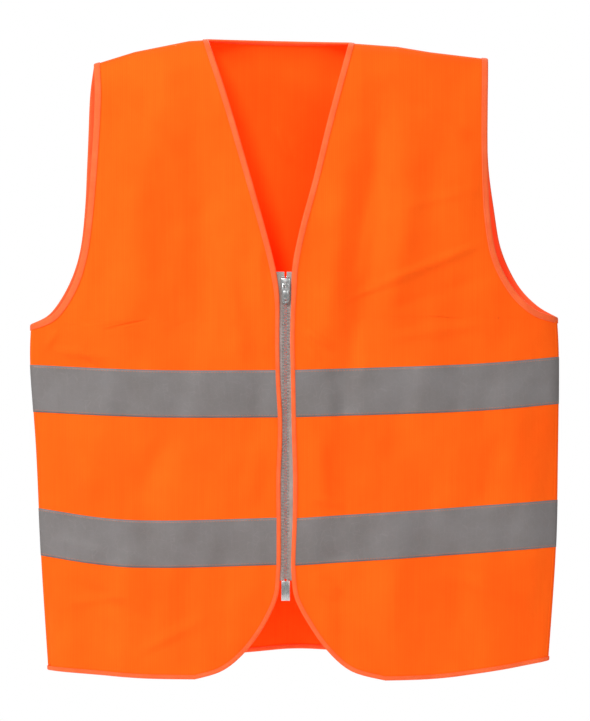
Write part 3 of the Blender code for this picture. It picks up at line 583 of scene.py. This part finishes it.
def clothMaterial(name, look):
    # knitted or woven cloth on its own UV in metres, with painted shade in the hollows between its threads
    made, tree, shader = newMaterial(name)
    place = addNode(tree, "ShaderNodeUVMap", uv_map="metres").outputs[0]
    rows = groupNode(tree, threads, {"Vector": place, "Rib Width": look["rib"], "Stitch Height": look["stitch"],
                                     "Slant": look["slant"]})
    colour = groupNode(tree, tone, {"Vector": place, "Light": look["light"], "Deep": look["deep"],
                                    "Patch Scale": look["patch"], "Streak": look["streak"]})
    # the gap colour is painted shade, mixed in where the threads sink
    shaded = addNode(tree, "ShaderNodeMix", {6: colour.outputs["Color"], 7: look["gap"]}, data_type="RGBA")
    tree.links.new(calc(tree, "MULTIPLY", rows.outputs["Gap Shade"], look["gapShadeShare"]), shaded.inputs[0])
    tree.links.new(shaded.outputs[2], shader.inputs["Base Color"])
    bump = addNode(tree, "ShaderNodeBump", {"Height": rows.outputs["Height"], "Strength": look["bump"],
                                            "Distance": look["relief"]})
    tree.links.new(bump.outputs[0], shader.inputs["Normal"])
    setSockets(shader, look["sockets"])
    return made


# in the cloth looks below, the gap colour is painted shade for the hollows between threads
orangeLook = {
    "rib": 0.0021, "stitch": 0.0012, "slant": 0.35, "patch": 9.0, "streak": 0.35,
    "light": (1.0, 0.160, 0.0080, 1), "deep": (1.0, 0.128, 0.0055, 1),
    "gap": (0.93, 0.085, 0.004, 1), "gapShadeShare": 0.45, "bump": 0.35, "relief": 0.00012,
    "sockets": {"Roughness": 0.85, "Sheen Weight": 0.02, "Sheen Roughness": 0.5, "Specular IOR Level": 0.10,
                # the emission here is a painted glow that keeps the orange bright even in shade
                "Emission Color": (1.0, 0.035, 0.0, 1), "Emission Strength": 0.22},
}
bindingLook = {
    "rib": 0.0009, "stitch": 0.0008, "slant": 0.0, "patch": 60.0, "streak": 0.3,
    "light": (1.0, 0.178, 0.050, 1), "deep": (0.98, 0.145, 0.032, 1),
    "gap": (0.80, 0.080, 0.016, 1), "gapShadeShare": 0.35, "bump": 0.4, "relief": 0.00012,
    "sockets": {"Roughness": 0.70, "Sheen Weight": 0.06, "Sheen Roughness": 0.4, "Specular IOR Level": 0.25,
                # the emission here is a painted glow that keeps the binding bright even in shade
                "Emission Color": (1.0, 0.06, 0.01, 1), "Emission Strength": 0.15},
}
zipTapeLook = {
    "rib": 0.0008, "stitch": 0.0007, "slant": 0.5, "patch": 40.0, "streak": 0.3,
    "light": (0.56, 0.53, 0.50, 1), "deep": (0.42, 0.39, 0.36, 1),
    "gap": (0.18, 0.15, 0.12, 1), "gapShadeShare": 0.6, "bump": 0.5, "relief": 0.00015,
    "sockets": {"Roughness": 0.8, "Specular IOR Level": 0.2},
}
orangeKnit = clothMaterial("orangeWarpKnit", orangeLook)
coralBinding = clothMaterial("coralBinding", bindingLook)
greyZipTape = clothMaterial("greyZipTape", zipTapeLook)

bandLook = {"light": (0.268, 0.252, 0.252, 1), "deep": (0.214, 0.196, 0.190, 1), "beads": 5200.0}


def bandMaterial(look):
    # silver reflective tape: glass beads on a fabric, with faint handling marks
    made, tree, shader = newMaterial("silverReflectiveTape")
    place = addNode(tree, "ShaderNodeUVMap", uv_map="metres").outputs[0]
    colour = groupNode(tree, tone, {"Vector": place, "Light": look["light"], "Deep": look["deep"],
                                    "Patch Scale": 16.0, "Streak": 0.12})
    beads = addNode(tree, "ShaderNodeTexVoronoi", {"Vector": place, "Scale": look["beads"]})
    weave = groupNode(tree, threads, {"Vector": place, "Rib Width": 0.0011, "Stitch Height": 0.0011, "Slant": 0.0})
    crazed = addNode(tree, "ShaderNodeTexVoronoi", {"Vector": place, "Scale": 150.0}, feature="DISTANCE_TO_EDGE")
    line = addNode(tree, "ShaderNodeMapRange", {"Value": crazed.outputs["Distance"], "From Min": 0.03,
                                                "From Max": 0.0, "To Max": 0.18})
    marked = addNode(tree, "ShaderNodeMix", {0: line.outputs[0], 6: colour.outputs["Color"],
                                             7: (0.40, 0.37, 0.36, 1)}, data_type="RGBA")
    tree.links.new(marked.outputs[2], shader.inputs["Base Color"])
    rough = addNode(tree, "ShaderNodeMapRange", {"Value": colour.outputs["Patch"], "To Min": 0.42, "To Max": 0.58})
    tree.links.new(rough.outputs[0], shader.inputs["Roughness"])
    height = calc(tree, "MULTIPLY_ADD", beads.outputs["Distance"], 0.5, weave.outputs["Height"])
    bump = addNode(tree, "ShaderNodeBump", {"Height": height, "Strength": 0.25, "Distance": 0.00006})
    tree.links.new(bump.outputs[0], shader.inputs["Normal"])
    setSockets(shader, {"Metallic": 0.10, "Specular IOR Level": 0.3})
    return made


silverTape = bandMaterial(bandLook)


def metalMaterial(name, light, deep, scratch, dull, metallic):
    made, tree, shader = newMaterial(name)
    place = addNode(tree, "ShaderNodeTexCoord").outputs["Object"]
    worn = groupNode(tree, handled, {"Vector": place, "Scratch Scale": scratch, "Dull": dull})
    mixed = addNode(tree, "ShaderNodeMix", {0: worn.outputs["Scratch"], 6: light, 7: deep}, data_type="RGBA")
    tree.links.new(mixed.outputs[2], shader.inputs["Base Color"])
    tree.links.new(worn.outputs["Roughness"], shader.inputs["Roughness"])
    bump = addNode(tree, "ShaderNodeBump",
                   {"Height": worn.outputs["Scratch"], "Strength": 0.15, "Distance": 0.00005})
    tree.links.new(bump.outputs[0], shader.inputs["Normal"])
    setSockets(shader, {"Metallic": metallic})
    return made


brightMetal = metalMaterial("brightZipMetal", (0.90, 0.90, 0.89, 1), (0.74, 0.74, 0.73, 1), 900.0, 0.16, 1.0)
toothMetal = metalMaterial("toothMetal", (0.86, 0.87, 0.84, 1), (0.60, 0.60, 0.57, 1), 1500.0, 0.22, 1.0)


def threadMaterial(name, light, deep):
    made, tree, shader = newMaterial(name)
    place = addNode(tree, "ShaderNodeTexCoord").outputs["Object"]
    twist = addNode(tree, "ShaderNodeTexWave", {"Vector": place, "Scale": 900.0, "Distortion": 1.5})
    mixed = addNode(tree, "ShaderNodeMix", {0: twist.outputs["Fac"], 6: light, 7: deep}, data_type="RGBA")
    tree.links.new(mixed.outputs[2], shader.inputs["Base Color"])
    bump = addNode(tree, "ShaderNodeBump", {"Height": twist.outputs["Fac"], "Strength": 0.3, "Distance": 0.00006})
    tree.links.new(bump.outputs[0], shader.inputs["Normal"])
    setSockets(shader, {"Roughness": 0.6, "Sheen Weight": 0.1})
    return made


coralThread = threadMaterial("coralThread", (0.93, 0.120, 0.030, 1), (0.78, 0.080, 0.016, 1))
orangeThread = threadMaterial("orangeThread", (1.0, 0.20, 0.03, 1), (0.85, 0.11, 0.012, 1))
print("materials made")


# ---- riding on the bodies ----

bodyWord = {right: "right_front", left: "left_front"}
frontName = {right: "right", left: "left"}


def bendWithFront(made):
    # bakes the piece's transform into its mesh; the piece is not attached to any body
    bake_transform(made)
    return made


def moveWith(made, side):
    if side == backPanel:
        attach(made, "back")
    else:
        bendWithFront(made)
    return made


# ---- cloth panels ----

cloth = {"thickness": 0.0005, "frontColumns": 118, "backColumns": 176}


def panelName(panel):
    return "back" if panel == backPanel else frontName[panel]


def addPanel(panel):
    count = cloth["backColumns" if panel == backPanel else "frontColumns"]
    share, down = np.meshgrid(np.linspace(0, 1, count + 1), panelRows, indexing="ij")
    x, z = panelPoint(panel, share, down)
    at, outward = onCloth(x, z, faceOf(panel))
    middle, half = tubeAt(z)
    sine = np.clip((x - middle) / half, -1, 1)
    metres = np.stack([x + 0.034 * sine * (1 - np.sqrt(1 - sine**2)), z], -1)
    name = "backClothPanel" if panel == backPanel else f"{frontName[panel]}FrontCloth"
    made = addPiece(name, gridMesh(name, at, metres, outward), orangeKnit, smooth=0)
    made.data.shade_smooth()
    thicken(made, cloth["thickness"])
    if panel == backPanel:
        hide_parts("back_panel")
    else:
        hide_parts(f"{frontName[panel]}_front_side", f"{frontName[panel]}_front_flap")
    return moveWith(made, panel)


panels = {panel: addPanel(panel) for panel in (backPanel, right, left)}
print("cloth panels made")


# ---- seams: narrow turned-over strips where the fronts meet the back ----

seam = {"half": 0.0032, "out": 0.00012, "thickness": 0.0004, "rows": 150, "sideEnd": 0.004, "topEnd": 0.003}
seamSteps = np.array([1.0, 0.75, 0.5, 0.3, 0.15, 0.05])


def addSeam(name, x, z, into):
    inset = seam["half"] * seamSteps[:, None]
    places = [onCloth(x + into[0] * inset, z + into[1] * inset, face, seam["out"]) for face in (front, back)]
    at = np.concatenate([places[0][0], places[1][0][::-1]])
    outward = np.concatenate([places[0][1], places[1][1][::-1]])
    run = np.linalg.norm(np.diff(at, axis=1), axis=-1).cumsum(1)
    run = np.concatenate([np.zeros((len(at), 1)), run], 1)
    girth = np.linalg.norm(np.diff(at, axis=0), axis=-1).cumsum(0)
    girth = np.concatenate([np.zeros((1, at.shape[1])), girth])
    made = addPiece(name, gridMesh(name, at, np.stack([girth, run], -1), outward), orangeKnit, 0)
    made.data.shade_smooth()
    thicken(made, seam["thickness"])
    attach(made, "back")


for side in (right, left):
    armpit, hem = sideSeam[side][0][1], sideSeam[side][-1][1]
    z = np.linspace(armpit - seam["sideEnd"], hem + seam["sideEnd"], seam["rows"])
    x = xAt(seamCurve[side], z)
    addSeam(f"{frontName[side]}SideSeam", x, z, (-side, 0))
    ease = side * seam["topEnd"]
    x = np.linspace(neckPoint[side][0] + ease, tip[side][0] - ease, seam["rows"])
    addSeam(f"{frontName[side]}ShoulderSeam", x, zAt(shoulderCurve, x), (0, -1))
print("seams made")


# ---- reflective bands ----

band = {"width": 0.050, "out": 0.00042, "thickness": 0.00028, "columns": 130, "rows": 20, "stitchIn": 0.0022}


def bandPoint(panel, word, share, up):
    line = bandCurve[panel, word]
    ends = []
    for edge, xEnd, gap in ((0, line[0, 0], 0.0002), (1, line[-1, 0], -0.0002)):
        z = zAt(line, np.array([xEnd]))
        ends.append(float(shareOfX(panel, z, panelEdges(panel, z)[edge] + gap)[0]))
    share = ends[0] + (ends[1] - ends[0]) * share
    z = np.full(share.shape, line[0, 1])
    for _ in range(10):
        x = xOfShare(panel, z, share)
        z = zAt(line, x) + band["width"] * (up - 0.5)
    return x, z


def addBand(panel, word):
    columns = band["columns"] * (2 if panel == backPanel else 1)
    share, up = np.meshgrid(np.linspace(0, 1, columns + 1), np.linspace(0, 1, band["rows"] + 1), indexing="ij")
    x, z = bandPoint(panel, word, share, up)
    at, outward = onCloth(x, z, faceOf(panel), band["out"])
    run = np.linalg.norm(np.diff(at, axis=0), axis=-1).cumsum(0)
    run = np.concatenate([np.zeros((1, run.shape[1])), run])
    metres = np.stack([run + panel * 0.7, up * band["width"]], -1)
    name = f"{panelName(panel)}{word}Band"
    made = addPiece(name, gridMesh(name, at, metres, outward), silverTape, smooth=0)
    made.data.shade_smooth()
    thicken(made, band["thickness"])
    low = word.lower()
    if panel == backPanel:
        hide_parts(f"back_tape_{low}")
    else:
        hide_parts(f"{frontName[panel]}_side_tape_{low}", f"{frontName[panel]}_flap_tape_{low}")
    return moveWith(made, panel)


bands = {key: addBand(*key) for key in bandLine}
print("bands made")


# ---- bindings ----

# the folded binding's section: millimetres into the cloth from its edge, and out from its outer face
bindingSection = [
    (5.30, 0.52), (5.22, 0.78), (4.90, 0.90), (3.90, 0.93), (2.60, 1.02), (1.20, 1.05), (0.30, 0.98),
    (-0.40, 0.70), (-0.85, 0.20), (-0.98, -0.30), (-0.80, -0.85), (-0.30, -1.30), (0.50, -1.52),
    (2.40, -1.52), (4.60, -1.46), (5.10, -1.32), (5.14, -1.02), (2.60, -0.98), (0.30, -0.95), (-0.28, -0.72),
    (-0.42, -0.28), (-0.20, 0.22), (0.30, 0.46), (2.60, 0.48),
]


def edgePath(stretches, inward, closed=False):
    # one line of points along the cloth's edges; a stretch is (panel, shares, rows)
    at, face = [], []
    for panel, share, down in stretches:
        x, z = panelPoint(panel, share, down)
        side = faceOf(panel)
        y = side * np.sqrt(np.maximum(0, bowSquared(x, z, side)))
        at.append(np.stack([x, y, z], -1))
        face.append(np.full(len(x), side))
    at, face = np.concatenate(at), np.concatenate(face)
    keep = np.ones(len(at), bool)
    keep[1:] = np.linalg.norm(np.diff(at, axis=0), axis=1) > 2e-4
    at, face = at[keep], face[keep]
    if closed and np.linalg.norm(at[-1] - at[0]) < 2e-4:
        at, face = at[:-1], face[:-1]
    ring = np.concatenate([at[-3:], at, at[:3]]) if closed else at
    run = np.concatenate([[0], np.linalg.norm(np.diff(ring, axis=0), axis=1).cumsum()])
    along = unit(np.gradient(ring, run, axis=0))
    if closed:
        along, run = along[3:-3], run[3:-3] - run[3]
    normal = unit(shellSlope(*at.T, face))
    into = unit(np.cross(normal, along)) * inward
    return {"at": at, "face": face, "into": into, "run": run, "closed": closed, "width": np.ones((len(at), 1))}


def besideEdge(path, deep, out):
    share = path["width"] if deep > 0 else 1.0
    at, normal = settled(path["at"] + path["into"] * deep * share, path["face"])
    return at + normal * out, normal


def addBinding(name, path, replaced):
    around = []
    for deep, out in bindingSection + bindingSection[:1]:
        around.append(besideEdge(path, deep * mm, out * mm)[0])
    at = np.stack(around, 1)
    if path["closed"]:
        at = np.concatenate([at, at[:1]])
    section = np.array(bindingSection + bindingSection[:1]) * mm
    girth = np.concatenate([[0], np.linalg.norm(np.diff(section, axis=0), axis=1).cumsum()])
    run = np.append(path["run"], path["run"][-1] + 0.003) if path["closed"] else path["run"]
    metres = np.stack(np.meshgrid(run, girth, indexing="ij"), -1)
    mesh = gridMesh(name, at, metres, at - at.mean(1, keepdims=True))
    bm = bmesh.new()
    bm.from_mesh(mesh)
    bmesh.ops.remove_doubles(bm, verts=bm.verts, dist=1e-6)
    if not path["closed"]:
        bmesh.ops.holes_fill(bm, edges=bm.edges, sides=len(bindingSection))
    bmesh.ops.recalc_face_normals(bm, faces=bm.faces)
    bm.to_mesh(mesh)
    bm.free()
    made = addPiece(name, mesh, coralBinding)
    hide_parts(*replaced)
    return made


def innerShare(side):
    return 1.0 if side == right else 0.0


hemShares = np.concatenate([np.linspace(0, 0.12, 30)[:-1], np.linspace(0.12, 1, 90)])
backHemShares = np.concatenate([
    np.linspace(0, 0.06, 30)[:-1], np.linspace(0.06, 0.94, 180), np.linspace(0.94, 1, 30)[1:],
])
neckShares = [float(shareOfX(backPanel, np.array(neckPoint[side][1]), np.array(neckPoint[side][0])))
              for side in (right, left)]


def frontPath(side):
    shares = hemShares if side == right else 1 - hemShares
    return edgePath([
        (side, np.full(len(panelRows), innerShare(side)), panelRows),
        (side, shares[::-1], np.ones(len(shares))),
    ], inward=side)


def armholePath(side):
    edge = np.full(len(armholeRows), 1 - innerShare(side))
    backEdge = np.full(len(armholeRows), 0.0 if side == right else 1.0)
    return edgePath([
        (side, edge, armholeRows),
        (backPanel, backEdge, armholeRows[::-1]),
    ], inward=-side, closed=True)


across = np.linspace(neckShares[0], neckShares[1], 90)
paths = {
    "backNeck": edgePath([(backPanel, across, np.zeros(90))], inward=left),
    "backHem": edgePath([(backPanel, backHemShares, np.ones(len(backHemShares)))], inward=right),
    "rightFront": frontPath(right),
    "leftFront": frontPath(left),
    "rightArmhole": armholePath(right),
    "leftArmhole": armholePath(left),
}
for key, share in (("backNeck", 0.86), ("backHem", 0.72), ("rightArmhole", 1.12), ("leftArmhole", 1.12)):
    paths[key]["width"] *= share
for key in ("rightFront", "leftFront"):
    z = paths[key]["at"][:, 2:]
    paths[key]["width"] = 0.98 - 0.30 * easeIn(-z, 0.235, 0.300)
pathPanel = {"rightFront": right, "leftFront": left}
bindings = {
    "backNeck": addBinding("backNeckBinding", paths["backNeck"], ["neck_binding"]),
    "backHem": addBinding("backHemBinding", paths["backHem"], ["hem_binding"]),
    "rightFront": addBinding("rightFrontBinding", paths["rightFront"], ["right_front_binding"]),
    "leftFront": addBinding("leftFrontBinding", paths["leftFront"], ["left_front_binding"]),
    "rightArmhole": addBinding("rightArmholeBinding", paths["rightArmhole"], ["right_armhole_binding"]),
    "leftArmhole": addBinding("leftArmholeBinding", paths["leftArmhole"], ["left_armhole_binding"]),
}
for key, made in bindings.items():
    moveWith(made, pathPanel.get(key, backPanel))
print("bindings made")


# ---- stitching ----

stitch = {"pitch": 0.0030, "length": 0.0022, "width": 0.00042, "height": 0.00022, "deep": 0.0041}


def stitchesAlong(at, normal, pitch, size):
    # short flat stitches end to end along a line
    run = np.concatenate([[0], np.linalg.norm(np.diff(at, axis=0), axis=1).cumsum()])
    found = []
    for middle in np.arange(pitch * 0.7, run[-1] - pitch * 0.5, pitch):
        ends = [np.array([np.interp(middle + shift, run, at[:, k]) for k in range(3)])
                for shift in (-size[0] / 2, size[0] / 2)]
        up = unit(np.array([np.interp(middle, run, normal[:, k]) for k in range(3)]))
        along = unit(ends[1] - ends[0])
        acrossIt = unit(np.cross(up, along))
        up = np.cross(along, acrossIt)
        turn = np.stack([acrossIt * size[1] / 2, up * size[2] / 2, along * size[0] / 2], 1)
        place = Matrix(turn.tolist()).to_4x4()
        place.translation = Vector((ends[0] + ends[1]) / 2)
        found.append(lambda bm, place=place: bmesh.ops.create_uvsphere(
            bm, u_segments=6, v_segments=4, radius=1.0, matrix=place))
    return found


def addStitches(name, rows, material, pitch, size):
    shapes = [shape for at, normal in rows for shape in stitchesAlong(at, normal, pitch, size)]
    return pieceFromBmesh(name, gathered(shapes), material)


stitchSize = (stitch["length"], stitch["width"], stitch["height"])
for key, path in paths.items():
    rows = [besideEdge(path, stitch["deep"], 0.00092), besideEdge(path, stitch["deep"], -0.00148)]
    made = addStitches(f"{key}Stitches", rows, coralThread, stitch["pitch"], stitchSize)
    moveWith(made, pathPanel.get(key, backPanel))


def bandRows(panel, word):
    rows = []
    share = np.linspace(0.002, 0.998, 140)
    for up in (band["stitchIn"] / band["width"], 1 - band["stitchIn"] / band["width"]):
        x, z = bandPoint(panel, word, share, np.full(len(share), up))
        rows.append(onCloth(x, z, faceOf(panel), band["out"] + 0.00003))
    return rows


bandStitch = {"pitch": 0.0031, "size": (0.0022, 0.00034, 0.00020)}
for panel, word in bandLine:
    name = f"{panelName(panel)}{word}BandStitches"
    rows = bandRows(panel, word)
    made = addStitches(name, rows, orangeThread, bandStitch["pitch"], bandStitch["size"])
    moveWith(made, panel)
print("stitching made")


# ---- zip ----

zipper = {
    "tapeTop": -0.2470, "tapeBottom": -0.5738, "tapeInner": 0.0012, "tapeOuter": 0.0150, "tapeThickness": 0.0006,
    "teethTop": -0.2625, "teethBottom": -0.5730, "pitch": 0.0036, "toothHeight": 0.00165,
    "toothDepth": 0.0029, "toothReach": 0.0011, "toothOuter": 0.0036,
}


def addZipTape(side):
    across = np.array([0.0, 0.04, 0.12, 0.2, 0.3, 0.5, 0.7, 0.9, 1.0])
    down = np.linspace(0, 1, 170)
    share, low = np.meshgrid(across, down, indexing="ij")
    x = shell["zipX"] + side * (zipper["tapeInner"] + (zipper["tapeOuter"] - zipper["tapeInner"]) * share)
    z = zipper["tapeTop"] + (zipper["tapeBottom"] - zipper["tapeTop"]) * low
    y = shell["zipY"] - zipper["tapeThickness"] / 2 + 0.00008 * np.sin(z * 900) * share
    at = np.stack([x, y, z], -1)
    metres = np.stack([x, z], -1)
    name = f"{frontName[side]}WovenZipTape"
    facing = np.zeros(at.shape)
    facing[..., 1] = -1
    made = addPiece(name, gridMesh(name, at, metres, facing), greyZipTape, smooth=0)
    made.data.shade_smooth()
    thicken(made, zipper["tapeThickness"])
    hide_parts(f"{frontName[side]}_zip_tape")
    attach(made, bodyWord[side])
    return made


def toothShape(bm, side, top):
    # one clamped tooth: legs round the tape's edge and a narrower head that meshes
    inner, outer = -zipper["toothReach"], zipper["toothOuter"]
    middle = Vector((shell["zipX"] + side * (inner + outer) / 2, shell["zipY"], top - zipper["toothHeight"] / 2))
    size = Matrix.Diagonal((outer - inner, zipper["toothDepth"], zipper["toothHeight"], 1))
    new = bmesh.ops.create_cube(bm, size=1.0, matrix=Matrix.Translation(middle) @ size)["verts"]
    for v in new:
        if (v.co.x - middle.x) * side < 0:
            v.co.z = middle.z + (v.co.z - middle.z) * 0.96
            v.co.y = shell["zipY"] + (v.co.y - shell["zipY"]) * 0.76
    edges = list({e for v in new for e in v.link_edges})
    bmesh.ops.bevel(bm, geom=edges, offset=0.00026, offset_type="OFFSET", segments=1, profile=0.5,
                    affect="EDGES", material=-1)


def addTeeth(side):
    start = zipper["teethTop"] if side == right else zipper["teethTop"] - zipper["pitch"] / 2
    count = int((start - zipper["teethBottom"] - zipper["toothHeight"]) / zipper["pitch"]) + 1
    shapes = [lambda bm, k=k: toothShape(bm, side, start - k * zipper["pitch"]) for k in range(count)]
    made = pieceFromBmesh(f"{frontName[side]}ZipTeeth", gathered(shapes), toothMetal, smooth=25)
    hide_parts(f"{frontName[side]}_zip_teeth")
    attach(made, bodyWord[side])
    return made


for addHalf in (addZipTape, addTeeth):
    for side in (right, left):
        addHalf(side)


def softened(name, node, body, offset, segments=2):
    # a copy of the CAD piece, merged into flat faces, with its edges rounded over
    bm = bmesh.new()
    bm.from_mesh(bpy.data.objects[node].data)
    bmesh.ops.remove_doubles(bm, verts=bm.verts, dist=1e-6)
    bmesh.ops.dissolve_limit(bm, angle_limit=math.radians(2), verts=bm.verts, edges=bm.edges)
    sharp = [e for e in bm.edges if len(e.link_faces) == 2 and e.calc_face_angle() > math.radians(35)]
    bmesh.ops.bevel(bm, geom=sharp, offset=offset, offset_type="OFFSET", segments=segments, profile=0.5,
                    affect="EDGES", material=-1, clamp_overlap=True)
    made = pieceFromBmesh(name, bm, brightMetal, smooth=35)
    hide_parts(node)
    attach(made, body)
    return made


softened("zipSliderBody", "slider_body", "zip_slider", 0.00028)
softened("zipPullTab", "pull_tab", "zip_pull", 0.00020)
softened("zipRetainerBox", "retainer_box", "right_front", 0.00035)
for side in (right, left):
    softened(f"{frontName[side]}ZipTopStop", f"{frontName[side]}_top_stop", bodyWord[side], 0.00035)
softened("zipRetainerPin", "retainer_pin", "right_front", 0.0003)
softened("zipInsertionPin", "insertion_pin", "left_front", 0.0003)
print("zip made")


# ---- cloth areas ----


def surfaceArea(mesh):
    return sum(p.area for p in mesh.polygons)


for panel, made in panels.items():
    print(panelName(panel), "cloth area", round(surfaceArea(made.data), 4))
for key, made in bands.items():
    print(made.name, "area", round(surfaceArea(made.data), 5))

# ---- stage, light and camera ----

stage = {"floorZ": -0.80, "floorSize": 1.9, "distance": 6.0, "height": 0.7670, "aimX": 0.0005, "aimZ": -0.3409}

bm = bmesh.new()
bmesh.ops.create_grid(bm, x_segments=1, y_segments=1, size=stage["floorSize"] / 2)
bmesh.ops.translate(bm, verts=bm.verts, vec=(0, 0, stage["floorZ"]))
floorMaterial, _, floorShader = newMaterial("paleFloor")
setSockets(floorShader, {"Base Color": (0.88, 0.88, 0.88, 1), "Roughness": 0.8})
floorMesh = bpy.data.meshes.new("floor")
bm.to_mesh(floorMesh)
bm.free()
floor = bpy.data.objects.new("floor", floorMesh)
bpy.context.scene.collection.objects.link(floor)
floorMesh.materials.append(floorMaterial)

lights = {
    "keyLight": {"at": (-0.75, -2.0, 1.10), "size": 0.5, "power": 25},
    "rakeLight": {"at": (-2.2, -1.0, 0.95), "size": 0.7, "power": 30},
    "fillLight": {"at": (1.6, -2.2, 0.90), "size": 1.6, "power": 15},
    "rimLight": {"at": (0.5, 2.4, 1.3), "size": 1.8, "power": 50},
}
for name, look in lights.items():
    lamp = bpy.data.lights.new(name, "AREA")
    lamp.size = look["size"]
    lamp.energy = look["power"]
    made = bpy.data.objects.new(name, lamp)
    made.location = look["at"]
    made.rotation_euler = (Vector((0, 0, -0.34)) - made.location).to_track_quat("-Z", "Y").to_euler()
    bpy.context.scene.collection.objects.link(made)

world = bpy.data.worlds.new("paleStudio")
bpy.context.scene.world = world
world.use_nodes = True
worldTree = world.node_tree
background = worldTree.nodes["Background"]
background.inputs["Color"].default_value = (1, 1, 1, 1)
path = addNode(worldTree, "ShaderNodeLightPath")
strength = addNode(worldTree, "ShaderNodeMapRange", {"Value": path.outputs["Is Camera Ray"], "To Min": 0.24,
                                                     "To Max": 1.0})
worldTree.links.new(strength.outputs[0], background.inputs["Strength"])
bpy.context.scene.view_settings.view_transform = "Standard"

lens = bpy.data.cameras.new("camera")
lens.sensor_width = 36
lens.lens = 36 * stage["distance"] / stage["height"]
camera = bpy.data.objects.new("camera", lens)
camera.location = (stage["aimX"], -stage["distance"], stage["aimZ"])
camera.rotation_euler = (math.pi / 2, 0, 0)
bpy.context.scene.collection.objects.link(camera)
bpy.context.scene.camera = camera
print("stage set")
